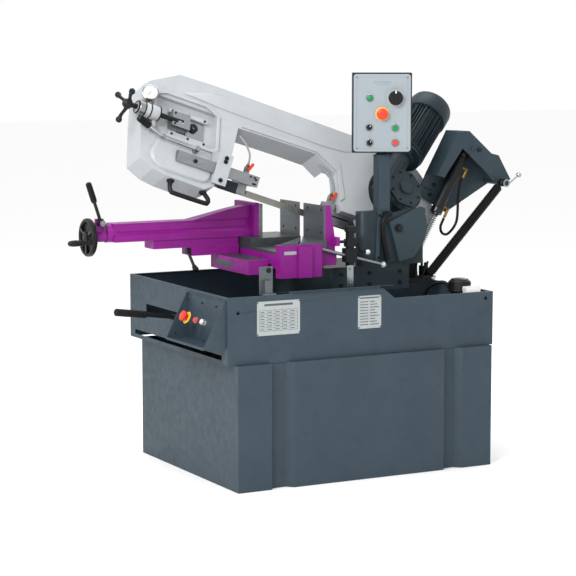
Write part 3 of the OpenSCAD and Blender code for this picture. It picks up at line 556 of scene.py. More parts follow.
# ---- turret, shield and pole
def shield_details():
    # Painted shade: a black rubber tube down the shield's left edge stands in for the shaded side of the cheek
    # behind the plate.
    shade_edge = Shape()
    band = spread([(262, -128, 806), (246, -128, 880), (240, -128, 930), (243, -128, 962),
                   (258, -128, 984), (276, -128, 992)], 5)
    shade_edge.tube(band, 9.5, 12)
    piece("shield_shade_edge", shade_edge, "black_rubber", "turret")

    plate = Shape()
    edge = spread([(268, 956, 0), (416, 1014, 0), (434, 985, 0), (441, 945, 0), (436, 900, 0),
                  (417, 856, 0), (380, 812, 0)], 12)
    bend = [(p.x, p.y) for p in edge[12:] if p.x > 380]
    plate.prism([(268, 956), (416, 1014), *bend, (380, 812), (314, 797)], 0, 3,
                facing_front(0, -134, 0))
    piece("shield_skin", plate, "sheet_dark", "turret", 1.0)

    strip = Shape()
    strip.prism([(214, 800), (233, 804), (244, 1000), (226, 1000)], 0, 6, facing_front(0, -110, 0))
    piece("post_bracket_strip", strip, "base_paint", "turret", 1.5)


def turret_screws():
    screws = Shape()
    for x, z in ((232, 985), (230, 815)):
        cap_screw(screws, (x, -116, z), (0, -1, 0), 12, 5)
    for x in (60, 190, 330):
        for z in (712, 756):
            cap_screw(screws, (x, -110, z), (0, -1, 0), 15, 6)
    hex_bolt(screws, (hinge.x / MM, -141, hinge.z / MM), (0, -1, 0), 22, 9)
    for x, y in ((390, -60), (390, 30), (448, -60), (430, 20)):
        hex_bolt(screws, (x, y, 714), (0, 0, 1), 12)
    piece("turret_screws", screws, "dark_steel", "turret")

    face = Shape()
    face.prism(rounded(50, 210, 3), 0, 1.5, facing_front(252, -116, 1115))
    piece("post_face", face, "base_paint", "turret", 0.8)


def foot_valve():
    """The hydraulic valve at the strut's foot, with its two hoses."""
    manifold = Shape()
    manifold.block(500, 532, -40, 6, 702, 742)
    manifold.block(486, 500, -30, -4, 714, 760)
    for z in (716, 730):
        manifold.lathe([(7, 0), (7, 10), (5, 12), (5, 22), (0.01, 22)],
                       at((516, -40, z), (0, -1, 0)), 6)
    manifold.lathe([(9, 0), (9, 26), (6, 30), (0.01, 30)], at((514, -16, 742)), 24)
    piece("valve_block", manifold, "dark_steel", "turret", 1.0)
    cap = Shape()
    cap.lathe([(13, 0), (13, 16), (10, 19), (4, 20), (4, 34), (0.01, 34)],
              at((520, -52, 712), (-0.2, -1, 0.5)), 28)
    piece("valve_coil", cap, "white_plastic", "turret", 0.5)
    lines = Shape()
    lines.tube(spread([(492, -18, 758), (490, -22, 784), (474, -40, 806), (448, -62, 802),
                       (432, -74, 776), (428, -78, 740), (428, -78, 716)], 5), 5, 12)
    lines.tube(spread([(506, -26, 742), (508, -34, 766), (500, -52, 778), (482, -66, 762),
                       (470, -70, 738), (462, -64, 716)], 5), 4, 12)
    piece("foot_hoses", lines, "black_rubber", "turret")


# ---- control panel
# Places on the panel's face, from its middle.
PANEL_PLACES = {"lamp": (-49, 59), "power": (53, 59), "estop": (0, -4),
                "selector_upper": (-51, -57), "selector_lower": (-49, -118),
                "button_green": (53, -60), "button_red": (53, -118)}


def on_panel(name):
    return shift(*PANEL_PLACES[name], 0)


def panel_face():
    face = Shape(PANEL)
    face.prism(rounded(226, 306, 12), -0.5, 1.0)
    piece("panel_face", face, "panel_face", "panel", 0.8)
    border = Shape(PANEL)
    frame_of(border, rounded(204, 284, 14), rounded(200.8, 280.8, 12.4), 1.0, 1.25)
    border.block(-34, 34, 118, 124, 1.0, 1.25)
    border.block(-28, 28, 110, 113, 1.0, 1.25)
    for u, v in ((-49, 86), (53, 98), (-51, -33), (53, -36), (-49, -94), (53, -94)):
        border.block(u - 5, u + 5, v - 1.2, v + 1.2, 1.0, 1.25)
    piece("panel_lines", border, "panel_line", "panel")
    rings = Shape(PANEL)
    for name in ("selector_upper", "selector_lower", "button_green", "button_red", "lamp"):
        rings.ring([(11.3, 1), (15.5, 1), (15.5, 3), (14, 4.6), (11.3, 4.6)], on_panel(name), 40)
    piece("panel_rings", rings, "chromed", "panel")
    dial = Shape(PANEL)
    dial.disc(36, 0.9, 1.5, on_panel("power"), 56)
    piece("power_dial", dial, "plate_metal", "panel", 0.3)
    yellow = Shape(PANEL)
    yellow.ring([(11.5, 1), (27, 1), (27, 2.2), (25.5, 3.2), (11.5, 3.2)], on_panel("estop"), 56)
    piece("panel_estop_ring", yellow, "yellow_plastic", "panel")
    lamp = Shape(PANEL)
    lamp.lathe([(12, 1), (12, 6), (10.5, 9), (7, 11), (0.01, 12)], on_panel("lamp"), 40)
    piece("panel_lamp", lamp, "green_plastic", "panel")


def power_switch():
    mark = Shape(PANEL)
    mark.block(50, 56, 78, 88, 28.8, 29.4)
    piece("power_mark", mark, "white_plastic", "power_knob", 0.4)
    knob = Shape(PANEL @ on_panel("power"))
    grooves = [(x * (29 if i % 2 else 27.6), y * (29 if i % 2 else 27.6))
               for i, (x, y) in enumerate(circle(1, 72))]
    knob.prism(grooves, 3, 22)
    knob.lathe([(26, 22), (24.5, 25.5), (0.01, 26)], None, 48)
    knob.prism([(-7, -27), (7, -27), (5.5, 29), (-5.5, 29)], 25, 29)
    knob.disc(8, -8, 4, None, 24)
    piece("power_handle", knob, "black_plastic", "power_knob", 0.8, replaces=["power_knob"])


def panel_buttons():
    for name in ("selector_upper", "selector_lower"):
        knob = Shape(PANEL @ on_panel(name))
        knob.lathe([(8, -9), (8, 1), (11.2, 1.2), (11.2, 7), (10, 8.5), (0.01, 8.5)])
        knob.prism([(-3.4, -10.5), (3.4, -10.5), (2.6, 10.5), (-2.6, 10.5)], 8, 17, spin(-35))
        piece(name + "_knob", knob, "black_plastic", name, 0.6, replaces=[name])
        mark = Shape(PANEL @ on_panel(name) @ spin(-35))
        mark.block(-1, 1, 3, 10, 17, 17.4)
        piece(name + "_mark", mark, "white_plastic", name)
    for name, finish in (("button_green", "green_plastic"), ("button_red", "red_plastic")):
        push = Shape(PANEL @ on_panel(name))
        push.lathe([(9, -8), (9, 3), (11, 3.2), (11, 8), (9.8, 9.6), (0.01, 10)])
        piece(name + "_cap", push, finish, name, replaces=[name])
    mushroom(PANEL @ on_panel("estop"), "panel_estop", 22)
    mushroom(at((-645, -173, 637), slope), "wedge_estop", 20)


def panel_fixings():
    screws = Shape(PANEL)
    for u in (-100, 100):
        for v in (-140, 140):
            screws.lathe([(4, 0), (3.4, 1.8), (0.01, 2.2)], shift(u, v, 1), 20)
    piece("panel_screws", screws, "chromed", "panel")
    plate = Shape(PANEL)
    plate.prism(rounded(200, 270, 6), -78, -76)
    piece("panel_rear_plate", plate, "panel_paint", "panel", 1.0)
    x, y, z = Vector(joints["panel_swivel"]["pos_m"]) / MM
    collar = Shape(shift(x, y, 1226))
    collar.lathe([(24, 0), (24, 3), (19, 5), (19, 8), (0.01, 8)], None, 32)
    piece("post_collar", collar, "dark_steel", "turret", 0.5)


def mushroom(m, node, r):
    """An emergency stop's red head."""
    head = Shape(m)
    head.lathe([(11, -5), (11, 10), (r * 0.72, 11), (r * 0.95, 14), (r, 18), (r, 21),
                (r * 0.94, 24.5), (r * 0.75, 26.8), (r * 0.4, 27.8), (0.01, 28)], None, 48)
    piece(node + "_head", head, "red_plastic", node, replaces=[node])


# ---- bow
def bow_ribs():
    front = WHEELS @ facing_front(0, BOW_FRONT, 0)
    raised = Shape(front)
    outer = [(-1120, 84), (-1120, 262), (-1070, 282), (-880, 282), (-822, 250), (-822, 92), (-850, 78)]
    inner = [(-1106, 95), (-1106, 255), (-1062, 270), (-884, 270), (-836, 244), (-836, 101), (-858, 92)]
    frame_of(raised, outer, inner, 0, 9)
    belly = spread([(-1095, 60, 0), (-1000, 76, 0), (-905, 66, 0), (-852, 30, 0),
                    (-846, -20, 0), (-872, -62, 0), (-960, -66, 0), (-1080, -58, 0),
                    (-1120, -10, 0), (-1095, 60, 0)], 14)
    crown(raised, [(p.x, p.y) for p in belly[:-1]], 12)
    piece("head_casting_ribs", raised, "bow_paint", "bow", 2.0)
    beam = Shape(front)
    beam.prism([(-720, 240), (-364, 247), (-262, 190), (-244, 60), (-222, 82), (-250, 232),
                (-318, 268), (-698, 258)], 0, 5)
    crown(beam, [(-1000, 300), (-866, 345), (-200, 352), (-120, 330), (-220, 292), (-320, 285),
                 (-830, 290)], 4)
    piece("beam_panel", beam, "bow_paint", "bow", 2.5)


def bow_fixings():
    screws = Shape(WHEELS @ facing_front(0, BOW_FRONT, 0))
    for r in (208, 105.5):
        for p in (-1030, -958, -886):
            screws_at(screws, p, r, 0, 9, 3)
    for radius, height, size, tall in ((92, 12, 12, 6), (68, 95, 9, 5)):
        for x, y in circle(radius, 8, math.radians(22.5)):
            screws_at(screws, DRIVE + x, BAND_R + y, height, size, tall)
    piece("bow_screws", screws, "dark_steel", "bow")
    clamp = Shape(BOW)
    for c in (44, 30, -44):
        clamp.lathe([(8.5, 0), (8.5, 4), (7.6, 5), (4.2, 5), (4, 1), (0.01, 0.8)],
                    facing_front(-819, -64, c), 28)
    clamp.lathe([(8, 0), (8, 5), (7, 6), (3.6, 6), (3.4, 2), (0.01, 2)],
                facing_front(-937, -51, -4), 28)
    for a, c in ((-672, 8), (-672, -16), (-690, 8)):
        clamp.disc(4, 0, 2.5, facing_front(a, -51, c), 20)
    piece("guide_bolts", clamp, "dark_steel", "bow")


def tension_housing_details():
    screw = WHEELS @ at((-1196, -92, 158), (1, 0, 0))
    rings = Shape(screw)
    rings.washer(22, 24.5, -2.2, 2.2)
    for z in (28, 52, 92):
        rings.washer(28.6, 30.4, z - 2.2, z + 2.2)
    piece("tension_rings", rings, "black_rubber", "bow")
    sleeve = Shape(screw)
    sleeve.ring([(23, 3), (28, 3), (29.6, 5), (29.6, 26), (23, 26)])
    piece("tension_sleeve", sleeve, "steel", "bow", 0.5)


def tension_gauge():
    centre = WHEELS @ mm(-1150, -105, 227)
    dial_frame = at(centre / MM, WHEELS.to_3x3() @ Vector((-0.35, -0.9, -0.1)).normalized())
    gauge = Shape(dial_frame)
    gauge.lathe([(0.01, -14), (24, -14), (30, -9), (30, 10), (31.5, 11), (31.5, 15), (29, 16),
                 (27.5, 15), (27.5, 13), (0.01, 13)], None, 48)
    gauge.disc(7, -34, -24, None, 6)
    piece("gauge_case", gauge, "chromed", "bow", replaces=["tension_gauge"])
    piece("gauge_dial", Shape(dial_frame).disc(27.3, 13.1, 13.5, None, 48), "white_plastic", "bow")
    ticks = Shape(dial_frame)
    for k in range(11):
        ticks.block(19, 25, -0.6, 0.6, 13.5, 13.8, spin(225 - 27 * k))
    ticks.block(-6, 18, -0.8, 0.8, 14, 14.4, spin(140))
    piece("gauge_ticks", ticks, "black_plastic", "bow")
    stem = Shape(WHEELS)
    stem.lathe([(8, 187), (8, 191), (5.5, 192), (5.5, 200), (8.5, 201), (8.5, 207),
                (0.01, 207)], shift(-1150, -92, 0), 6)
    piece("gauge_fitting", stem, "brass", "bow")


def carry_handle():
    handle = Shape(WHEELS)
    path = spread([(-1010, -52, -84), (-1011, -52, -112), (-1004, -52, -130), (-985, -52, -133),
                   (-860, -52, -133), (-843, -52, -128), (-841, -52, -112), (-862, -52, -90)], 6)
    handle.tube(path, 9.2, 16)
    for p, r in ((-1010, -83.5), (-866, -88)):
        handle.lathe([(15, 0), (15, 5), (11, 9), (0.01, 9)], at((p, -52, r), (0, 0, -1)), 24)
    piece("carry_handle", handle, "black_plastic", "bow", replaces=["bow_handle"])


def motor():
    shaft = Vector((0.4659, 0, 0.8848))  # out of the gearbox, in the WHEELS frame
    across_shaft = Vector((shaft.z, 0, -shaft.x))
    foot = Vector((-50, -130, 198))
    flange, first_fin, terminals, cowl_start = 164, 168, 260, 400  # along the shaft from its foot
    bolts = Shape(WHEELS)
    for x, y in circle(68, 4, math.radians(45)):
        hex_bolt(bolts, foot + shaft * flange + across_shaft * x + BACK * y, shaft, 13)
    piece("motor_bolts", bolts, "dark_steel", "bow")
    cowl = Shape(WHEELS @ at(foot + shaft * cowl_start, shaft))
    cowl.lathe([(82, -6), (89, -4), (91.5, 0), (91.5, 62), (88, 74), (80, 80), (70, 81.5),
                (69, 80.5), (0.01, 80.5)], None, 72)
    for k in range(1, 6):
        cowl.washer(12 * k, 12 * k + 4, 80.4, 82, None, 60)
    piece("motor_cowl", cowl, "motor_paint", "bow", 0.5)
    fins = Shape(WHEELS @ at(foot + shaft * first_fin, shaft))
    for k in range(40):
        fins.prism([(72, -1.6), (86, -0.9), (86, 0.9), (72, 1.6)], 6, 226, spin(9 * k))
    fins.lathe([(78, -2), (84, 0), (84, 6), (74, 10), (0.01, 10)], None, 60)
    piece("motor_fins", fins, "motor_paint", "bow", 0.4)
    label = Shape(WHEELS @ at(foot + shaft * cowl_start, shaft))
    for k in range(10):
        near, far = (Vector((math.cos(a), math.sin(a)))
                     for a in (math.radians(200 + 3.4 * k), math.radians(203.4 + 3.4 * k)))
        label.prism([91.7 * near, 91.7 * far, 92.2 * far, 92.2 * near], 8, 44)
    piece("motor_label", label, "plate_metal", "bow")
    terminal = Shape(WHEELS @ at(foot + shaft * terminals, shaft))
    terminal.prism(rounded(74, 60, 8), 0, 60, spin(-90) @ shift(96, 0, 0))
    piece("motor_terminal_box", terminal, "motor_paint", "bow", 2.5)


def gearbox():
    gear = Shape(WHEELS @ at((DRIVE, -86, BAND_R), (0, -1, 0)))
    gear.ring([(92, 0), (99, 2), (101, 8), (101, 16), (97, 20), (92, 20)], None, 72)
    gear.lathe([(86, 61), (86, 66), (80, 72), (60, 76), (34, 78), (30, 82), (29, 92), (27, 95),
                (0.01, 95.5)], None, 72)
    for k in range(12):
        gear.prism([(29, -2), (84, -2.6), (84, 2.6), (29, 2)], 68, 76, spin(30 * k))
    piece("gearbox_cover", gear, "dark_paint", "bow", 1.0)
    # Painted shade: a black rubber ring between the bow front and the gearbox cover stands in for the shadow
    # crescent below the cover's flange.
    shade_ring = Shape(WHEELS @ at((DRIVE, BOW_FRONT, BAND_R), (0, -1, 0)))
    shade_ring.ring([(100, 0), (118, 0), (118, 9), (114, 12), (100, 12)], None, 72)
    piece("gearbox_shade_ring", shade_ring, "black_rubber", "bow")
    plug = Shape(WHEELS @ at((62, -150, 205), (0.3, -1, 0.2)))
    plug.lathe([(9, 0), (9, 8), (6, 10), (0.01, 10)], None, 6)
    piece("gearbox_plug", plug, "brass", "bow")


def rear_bracket_details():
    bracket = Shape(BOW)
    for a, c in ((191, 231), (186, 188), (330, 200)):
        bracket.lathe([(8, 0), (8, 5), (6.5, 6.5), (3.5, 6.5), (3.3, 2), (0.01, 2)],
                      facing_front(a, 60, c), 24)
    bracket.lathe([(9, 0), (9, 5), (7, 7), (0.01, 7)], facing_front(299, -30, 420), 24)
    piece("bracket_bolts", bracket, "dark_steel", "bow")
    knob = Shape(BOW)
    knob.tube([(470, -60, 330), (500, -60, 372)], 4, 12)
    knob.lathe([(0.01, 0), (9, 3), (12, 10), (9, 17), (0.01, 20)],
               at((497, -60, 366), (0.58, 0, 0.81)), 28)
    knob.washer(9.9, 16, -97, -86, facing_back(432, 0, 320), 32)
    piece("spring_adjuster", knob, "chromed", "bow")


def rear_cover_details():
    cover = Shape(WHEELS)
    for p in (IDLER, DRIVE):
        centre = facing_back(p, BOW_BACK, BAND_R)
        cover.ring([(150, 0), (172, 0), (172, 3), (168, 4.5), (154, 4.5), (150, 3)], centre, 96)
        cover.lathe([(46, 0), (46, 2), (40, 5), (0.01, 5)], centre, 64)
    cover.block(-700, -200, BOW_BACK, BOW_BACK + 3, 290, 350)
    piece("cover_pressings", cover, "sheet_dark", "rear_cover", 1.2)
    knobs = Shape(WHEELS)
    for p, r in ((-1040, 60), (-820, 35), (-110, 35), (150, 60)):
        knobs.lathe([(5, 0), (5, 8), (13, 9), (15, 14), (15, 20), (12, 24), (0.01, 25)],
                    facing_back(p, BOW_BACK, r), 32)
    piece("cover_knobs", knobs, "black_plastic", "rear_cover")


def screws_at(shape, p, r, height, size, tall):
    s = size * 0.27
    shape.lathe([(size / 2, height - 1), (size / 2, height + tall * 0.85),
                 (size * 0.45, height + tall), (s, height + tall), (s, height + tall * 0.4),
                 (0.01, height + tall * 0.4)], shift(p, r, 0), 24)


def frame_of(shape, outer, inner, low, high):
    """A rim between two outlines of as many points."""
    n = len(outer)
    for i in range(n):
        j = (i + 1) % n
        shape.prism([outer[i], outer[j], inner[j], inner[i]], low, high)


def crown(shape, outline, height):
    """A raised panel whose edge slopes in."""
    n = len(outline)
    cx = sum(p[0] for p in outline) / n
    cy = sum(p[1] for p in outline) / n
    verts = []
    for share, z in ((1.0, 0), (0.965, height * 0.6), (0.92, height), (0.5, height * 1.15)):
        verts += [(cx + (x - cx) * share, cy + (y - cy) * share, z) for x, y in outline]
    faces = []
    for level in range(3):
        faces += [[level * n + i, level * n + (i + 1) % n, (level + 1) * n + (i + 1) % n,
                   (level + 1) * n + i] for i in range(n)]
    faces.append([3 * n + i for i in range(n)])
    faces.append(list(range(n))[::-1])
    shape.add(verts, faces)


def toothed_band():
    """The toothed band: flat on the wheels, upright between the guides."""
    lean, upright = math.radians(28), math.radians(90)
    straight = DRIVE - IDLER
    half = math.pi * BAND_R
    total = 2 * (straight + half)

    def ease(x):
        x = min(max(x, 0), 1)
        return x * x * (3 - 2 * x)

    def frame_at(s):
        """Centre, width direction and thickness direction at s along the loop."""
        if s < straight:
            p = IDLER + s
            share = ease((p + 922) / 110) - ease((p + 165) / 160)
            b = lean + (upright - lean) * share
            turn = BOW.to_3x3()
            width = turn @ Vector((0, math.cos(b), -math.sin(b)))
            thick = turn @ Vector((0, math.sin(b), math.cos(b)))
            return WHEELS @ mm(p, 0, 0), width, thick
        s -= straight
        turn = WHEELS.to_3x3()
        if half <= s < half + straight:
            return WHEELS @ mm(DRIVE - (s - half), 0, 2 * BAND_R), turn @ BACK, turn @ -UP
        on_idler = s >= half + straight
        a = s / BAND_R if not on_idler else math.pi + (s - half - straight) / BAND_R
        centre = mm((IDLER if on_idler else DRIVE) + BAND_R * math.sin(a), 0,
                    BAND_R - BAND_R * math.cos(a))
        return WHEELS @ centre, turn @ BACK, turn @ Vector((-math.sin(a), 0, math.cos(a)))

    pitch = 6.0
    count = int(total / pitch)
    band = Shape()
    points = []
    for i in range(count):
        for share, tooth in ((0.0, 0.0), (0.75, 2.2)):
            centre, width, thick = frame_at(total * (i + share) / count)
            points += [centre / MM + width * w + thick * t for w, t in
                       ((-13.5, 0.45), (-13.5, -0.45), (11.2 + tooth, -0.45), (11.2 + tooth, 0.45))]
    n = count * 2
    faces = [[i * 4 + k, i * 4 + (k + 1) % 4, (i + 1) % n * 4 + (k + 1) % 4, (i + 1) % n * 4 + k]
             for i in range(n) for k in range(4)]
    band.add(points, faces)
    piece("toothed_band", band, "blade_steel", "bow", replaces=["blade"])


# ---- tension head, wheels, guides
def tension_handle():
    grip = Shape(WHEELS @ at((-1222, -92, 158), (-1, 0, 0)))
    grip.lathe([(10, -206), (10, -2), (15, 0), (19, 4), (20, 14), (17, 26), (12, 32),
                (0.01, 33)], None, 40)
    for k in range(3):
        a = math.radians(120 * k + 40)
        c, s = math.cos(a), math.sin(a)
        arm = [(8 * c, 8 * s, 12), (28 * c, 28 * s, 20), (50 * c, 50 * s, 30), (70 * c, 70 * s, 34)]
        grip.tube(spread(arm, 4), lambda t: 9.5 - 3.0 * math.sin(math.pi * t), 16)
        grip.lathe([(0.01, -12), (8, -10), (12, -4), (12, 4), (8, 10), (0.01, 12)],
                   at((70 * c, 70 * s, 34), (c, s, 0.3)), 24)
    piece("tension_star_handle", grip, "black_plastic", "tension_handle", replaces=["tension_handle"])
    block = Shape(WHEELS @ facing_front(0, -64, 0))
    for r in (188, 142):
        screws_at(block, -1028, r, 32, 8, 4)
    block.lathe([(19, 0), (19, 8), (15, 10), (6, 10), (6, 3), (0.01, 3)], shift(IDLER, BAND_R, 0), 40)
    piece("tension_block_screws", block, "dark_steel", "tension_block")


def wheel_hubs():
    for name, p, bore in (("idler_wheel", IDLER, 16), ("drive_wheel", DRIVE, 26)):
        hub = Shape(WHEELS @ facing_back(p, 0, BAND_R))
        hub.ring([(bore, 14), (38, 14), (34, 22), (bore, 22)], None, 48)
        for x, y in circle(92, 6):
            hub.disc(6, 5, 10, shift(x, y, 0), 6)
        piece(name + "_hub", hub, "dark_steel", name)


def guide_rod():
    rod = Shape(WHEELS)
    path = spread([(-932, -108, 52), (-1000, -108, 55), (-1060, -108, 58), (-1090, -108, 63),
                   (-1120, -108, 74), (-1186, -108, 102.5)], 6)
    rod.tube(path, 7, 20)
    piece("guide_lock_rod", rod, "chromed", "guide_rod")
    sleeve = Shape(WHEELS @ at((-1140, -108, 83.4), (-46, 0, 19.2)))
    profile = [(0.01, 0), (9, 0), (11.5, 3)]
    for k in range(10):
        z = 5 + 4.6 * k
        profile += [(15.0, z), (15.0, z + 2.4), (13.8, z + 3.4)]
    profile += [(14.4, 53), (11, 60), (0.01, 62)]
    sleeve.lathe(profile, None, 28)
    piece("guide_lock_grip", sleeve, "black_rubber", "guide_rod")


def blade_guides():
    guide = Shape(BOW)
    for c in (2, -16):
        guide.disc(4.4, 0, 3, facing_front(-664, -51, c), 20)
    for y in (-30, -8, 14, 36, 58):
        guide.block(-650, -648.5, y - 4, y + 4, -18, 12)
    guide.lathe([(6, 0), (6, 6), (3, 6), (3, 2), (0.01, 2)], facing_right(-655, 36, -50), 24)
    piece("guide_head_screws", guide, "dark_steel", "guide_arm")
    guard = Shape(BOW)
    guard.block(-786, -699, 16, 18, -68, -27)
    guard.block(-786, -699, 8, 18, -70, -67)
    piece("blade_guard", guard, "dark_paint", "guide_arm", 0.8)
    right = Shape(BOW)
    for y in (28, 62):
        for c in (-48, 0):
            right.lathe([(5, 0), (5, 4), (2.6, 4), (2.6, 1), (0.01, 1)],
                        basis(BACK, UP, -RIGHT, mm(-290, y, c)), 20)
    right.block(-286, -180, 10.5, 12, -34, -28)
    piece("fixed_guide_screws", right, "dark_steel", "bow")


def coolant_valves():
    for name, holder, a, y in (("valve_left", "guide_arm", -684, 2), ("valve_right", "bow", -278, 22)):
        lever = Shape(BOW @ shift(a, y, 34) @ Matrix.Rotation(math.radians(25), 4, "Y")
                      @ facing_front(0, 0, 0))
        outline = [(-5, -6), (5, -6), (6, 8), (6.5, 27), (4, 33), (-4, 33), (-6.5, 27), (-6, 8)]
        lever.prism(outline, 5.5, 8.5)
        lever.lathe([(5, 4.5), (5, 10.5), (0.01, 11)], None, 6)
        lever.disc(4, -9, 5, None, 20)
        piece(name + "_lever", lever, "red_plastic", name, 0.6, replaces=[name])
        brass = Shape(BOW @ shift(a, y + 9, 22))
        brass.lathe([(9.6, -5), (9.6, 0), (7.4, 2), (7.4, 22), (9, 24), (9, 30), (6.5, 32),
                     (6.5, 36), (4.6, 37), (0.01, 37)], None, 6)
        piece(name + "_body", brass, "brass", holder, 0.4)


def coolant_hoses():
    # Each route has its own valve's position at its start.
    left_path = [(-684, 11, 56), (-684, 12, 64), (-683, 16, 78), (-684, 24, 96),
                 (-690, 36, 114), (-700, 50, 132), (-712, 64, 146), (-722, 76, 156)]
    hose = Shape(BOW)
    hose.tube(spread(left_path, 3), 4.0, 14)
    tube_piece = piece("coolant_hose_left", hose, "hose", None, replaces=["coolant_hoses"])
    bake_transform(tube_piece)
    right_path = [(-278, 31, 56), (-278, 32, 64), (-279, 36, 80), (-282, 46, 98),
                  (-290, 60, 118), (-302, 76, 136), (-318, 92, 148), (-330, 104, 152)]
    hose = Shape(BOW)
    hose.tube(spread(right_path, 3), 4.0, 14)
    piece("coolant_hose_right", hose, "hose", "bow", replaces=["coolant_hoses"])


# ---- strut and springs
def helix(start, end, radius, turns, steps=14):
    """Points of a coil between start and end."""
    d = (end - start).normalized()
    u = d.cross(BACK).normalized()
    v = d.cross(u)
    n = turns * steps
    return [start + (end - start) * (i / n) + radius * (math.cos(2 * math.pi * i / steps) * u
                                                        + math.sin(2 * math.pi * i / steps) * v)
            for i in range(n + 1)]


def lift_strut():
    foot = Vector(joints["strut_rod_pivot"]["pos_m"]) / MM
    head = Vector(joints["strut_barrel_pivot"]["pos_m"]) / MM
    d = (head - foot).normalized()
    spring = Shape()
    spring.tube(helix(foot + d * 62, foot + d * 238, 12.6, 20), 2.1, 8)
    piece("lift_spring", spring, "steel", "strut_rod", replaces=["strut_spring"])
    ends = Shape()
    ends.disc(16, 0, 5, at(foot + d * 56, d), 28)
    ends.lathe([(13, 0), (14, 2), (14, 5), (0.01, 5)], at(foot + d * 236, d), 28)
    piece("spring_seats", ends, "dark_steel", "strut_rod", 0.5)
    gland = Shape()
    m = at(head - d * 302, d)
    gland.ring([(19, 0), (24.5, 0), (25.5, 3), (25.5, 22), (23.6, 24), (19, 24)], m, 48)
    gland.washer(23.5, 25.5, 262, 280, m, 48)
    piece("barrel_collars", gland, "black_gloss", "strut_barrel")
    fittings = Shape()
    normal = d.cross(BACK).normalized()
    for s in (80, 262):
        place = head - d * s - normal * 23
        fittings.lathe([(8, 0), (8, 8), (6, 10), (6, 18), (8, 19), (8, 26), (0.01, 26)],
                       at(place, -normal), 6)
        fittings.lathe([(6, 0), (6, 40), (4.5, 44), (0.01, 44)],
                       at(place - normal * 24 + d * 6, -d), 16)
    piece("barrel_fittings", fittings, "brass", "strut_barrel")
    tips = [head - d * (s + 36) - normal * 47 for s in (80, 262)]
    line = Shape()
    line.tube(spread([tips[0], tips[0] - d * 30 - normal * 2, tips[0] - d * 90 - normal * 26,
                      tips[0] - d * 170 - normal * 62, tips[1] - d * 48 - normal * 52,
                      tips[1] - d * 62 - normal * 26, tips[1] - d * 44 - normal * 4,
                      tips[1] - d * 4], 5), 5.5, 12)
    piece("lift_hose", line, "black_rubber", "strut_barrel")


def counterbalance_spring():
    low, high = Vector((486, -60, 712)), BOW @ mm(432, -60, 320) / MM
    d = (high - low).normalized()
    length = (high - low).length
    sleeve = Shape()
    profile = [(0.01, 18), (13, 18)]
    ribs = 56
    step = (length - 44) / ribs
    for k in range(ribs):
        z = 20 + step * k
        profile += [(16.5, z), (19.2, z + step * 0.35), (19.2, z + step * 0.6), (16.5, z + step)]
    profile += [(13, length - 20), (0.01, length - 20)]
    sleeve.lathe(profile, at(low, d), 28)
    for point, r in ((low, 6.3), (high, 10.2)):
        sleeve.washer(r, r + 6, -5, 5, facing_back(*point), 36)
    sleeve.tube([low + d * 10, low + d * 24], 6, 16)
    sleeve.tube([high - d * 26, high - d * 14], 6, 16)
    data = piece("counterbalance_spring", sleeve, "black_rubber", None, replaces=["counter_spring"])
    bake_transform(data)


# ---- vise
def handwheel():
    axis_y, axis_z = (c / MM for c in joints["screw_turn"]["pos_m"][1:])
    wheel_frame = facing_right(-902, axis_y, axis_z)
    wheel = Shape(wheel_frame)
    wheel.ring([(61, 4), (64, 0), (70, -1), (74, 3), (75, 10), (74, 17), (70, 21), (64, 20),
                (61, 16)], None, 72)
    wheel.lathe([(24, -4), (24, 2), (32, 8), (62, 10), (62, 13), (32, 14), (24, 20), (22, 34),
                 (0.01, 34)], None, 72)
    wheel.lathe([(0.01, -6), (20, -6), (24, -3), (24, 0), (0.01, 0)], None, 40)
    wheel.disc(12, 34, 602, None, 40)
    handle_at = Vector(joints["crank_spin"]["pos_m"]) / MM
    u, v = handle_at.y - axis_y, handle_at.z - axis_z
    wheel.lathe([(0.01, -98), (4, -98), (4, -6), (10, -6), (10, 8), (0.01, 8)], shift(u, v, 0), 24)
    piece("vise_handwheel", wheel, "black_plastic", "handwheel", 0.4, replaces=["handwheel"])
    spokes = Shape(wheel_frame)
    for k in range(3):
        spokes.prism([(-5, 22), (5, 22), (7, 62), (-7, 62)], -1, 9, spin(120 * k + 60))
    spokes.lathe([(0.01, -10), (7, -10), (9, -7), (9, -5), (0.01, -5)], None, 6)
    piece("handwheel_spokes", spokes, "black_gloss", "handwheel", 1.5)
    crank = Shape(facing_right(-998, handle_at.y, handle_at.z))
    crank.ring([(4.05, 0), (7, 0), (10, 4), (12, 16), (12.6, 30), (11, 50), (9, 68), (8.4, 80),
                (9, 88), (4.05, 88)], None, 36)
    piece("crank_grip", crank, "black_plastic", "crank_handle", replaces=["crank_handle"])


def quick_clamp_lever():
    lever = Shape()
    low, top = Vector((-874, 178, 1064)), Vector((-896, 178, 1131))
    profile = [(0.01, -4), (8, -4), (11, 0)]
    for k in range(9):
        z = 2 + 7.4 * k
        profile += [(12.2, z), (12.2, z + 4.2), (11, z + 5.6)]
    profile += [(11.5, 70), (7, 75), (0.01, 76)]
    lever.lathe(profile, at(low, top - low), 28)
    piece("quick_lever_grip", lever, "black_rubber", "clamp_lever")
    nut = Shape()
    hex_bolt(nut, (-845, 161.5, 976), (0, -1, 0), 15)
    piece("quick_lever_nut", nut, "steel", "vise_arm")


def vise_arm_details():
    arm = Shape(facing_front(0, 160, 0))
    arm.prism([(-470, 972), (-208, 972), (-208, 1026), (-300, 1012)], 0, 6)
    arm.prism([(-790, 940), (-230, 940), (-225, 966), (-780, 966)], 0, 3)
    piece("vise_arm_ribs", arm, "purple_paint", "vise_arm", 2.0)
    screws = Shape()
    for y in (140, 278):
        for z in (925, 1008):
            cap_screw(screws, (-171, y, z), (1, 0, 0), 10, 1.6)
    piece("vise_arm_screws", screws, "dark_steel", "vise_arm")


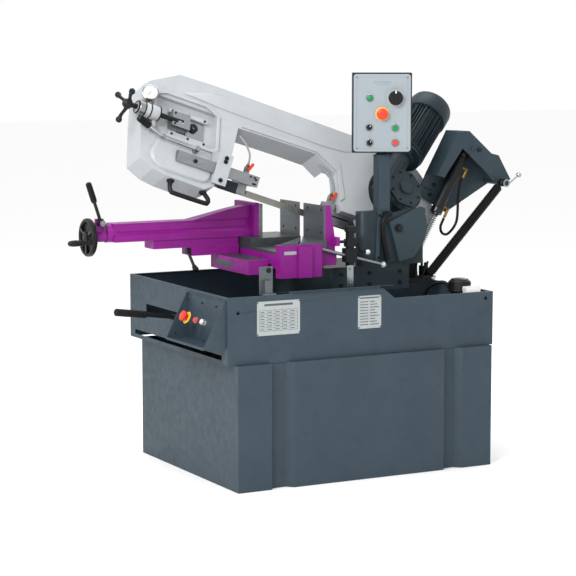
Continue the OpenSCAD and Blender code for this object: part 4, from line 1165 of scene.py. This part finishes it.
def lever_balls():
    """The balls on the ends of three levers, each as its radius and half of its outline."""
    for name, finish, r, shoulder, place, axis in (
            ("carriage_lever", "black_gloss", 13, [(6, 11.5), (11, 6)], (-468, 122, 782), (8, -40, -56)),
            ("stop_rod", "white_plastic", 12.6, [(6, 11), (10.6, 6)], (221, -165, 792), (272, 0, -73)),
            ("stop_lever", "white_plastic", 10.6, [(6, 9), (9.4, 5)], (150, -165, 846), (26, 0, -6))):
        upper = [(r, 0), *shoulder[::-1], (0.01, r)]
        lower = [(x, -z) for x, z in upper[:0:-1]]
        piece(name + "_ball", Shape().lathe(lower + upper, at(place, axis), 32), finish, name)


def stop_leg():
    stop = Shape()
    stop.block(45, 74, -184, -181, 716, 800)
    for z in (728, 786):
        cap_screw(stop, (59, -184, z), (0, -1, 0), 9, 4)
    piece("stop_leg", stop, "chromed", "base", 0.8)


def floor():
    bm = bmesh.new()
    bmesh.ops.create_grid(bm, x_segments=1, y_segments=1, size=30)
    data = bpy.data.meshes.new("floor")
    bm.to_mesh(data)
    bm.free()
    obj = bpy.data.objects.new("floor", data)
    bpy.context.scene.collection.objects.link(obj)
    mat = bpy.data.materials.new("floor")
    mat.use_nodes = True
    shader = mat.node_tree.nodes["Principled BSDF"]
    shader.inputs["Base Color"].default_value = (0.96, 0.96, 0.96, 1)
    shader.inputs["Roughness"].default_value = 0.7
    obj.data.materials.append(mat)
    obj.location.z = -0.0005


set_stage()
finish_nodes()
base_screws()
rating_plates()
control_box_rings()
vise_bed_details()
coolant_pump()
lock_lever_grip()
shield_details()
turret_screws()
foot_valve()
panel_face()
power_switch()
panel_buttons()
panel_fixings()
bow_ribs()
bow_fixings()
tension_housing_details()
tension_gauge()
carry_handle()
motor()
gearbox()
rear_bracket_details()
rear_cover_details()
toothed_band()
tension_handle()
wheel_hubs()
guide_rod()
blade_guides()
coolant_valves()
coolant_hoses()
lift_strut()
counterbalance_spring()
handwheel()
quick_clamp_lever()
vise_arm_details()
lever_balls()
stop_leg()
floor()
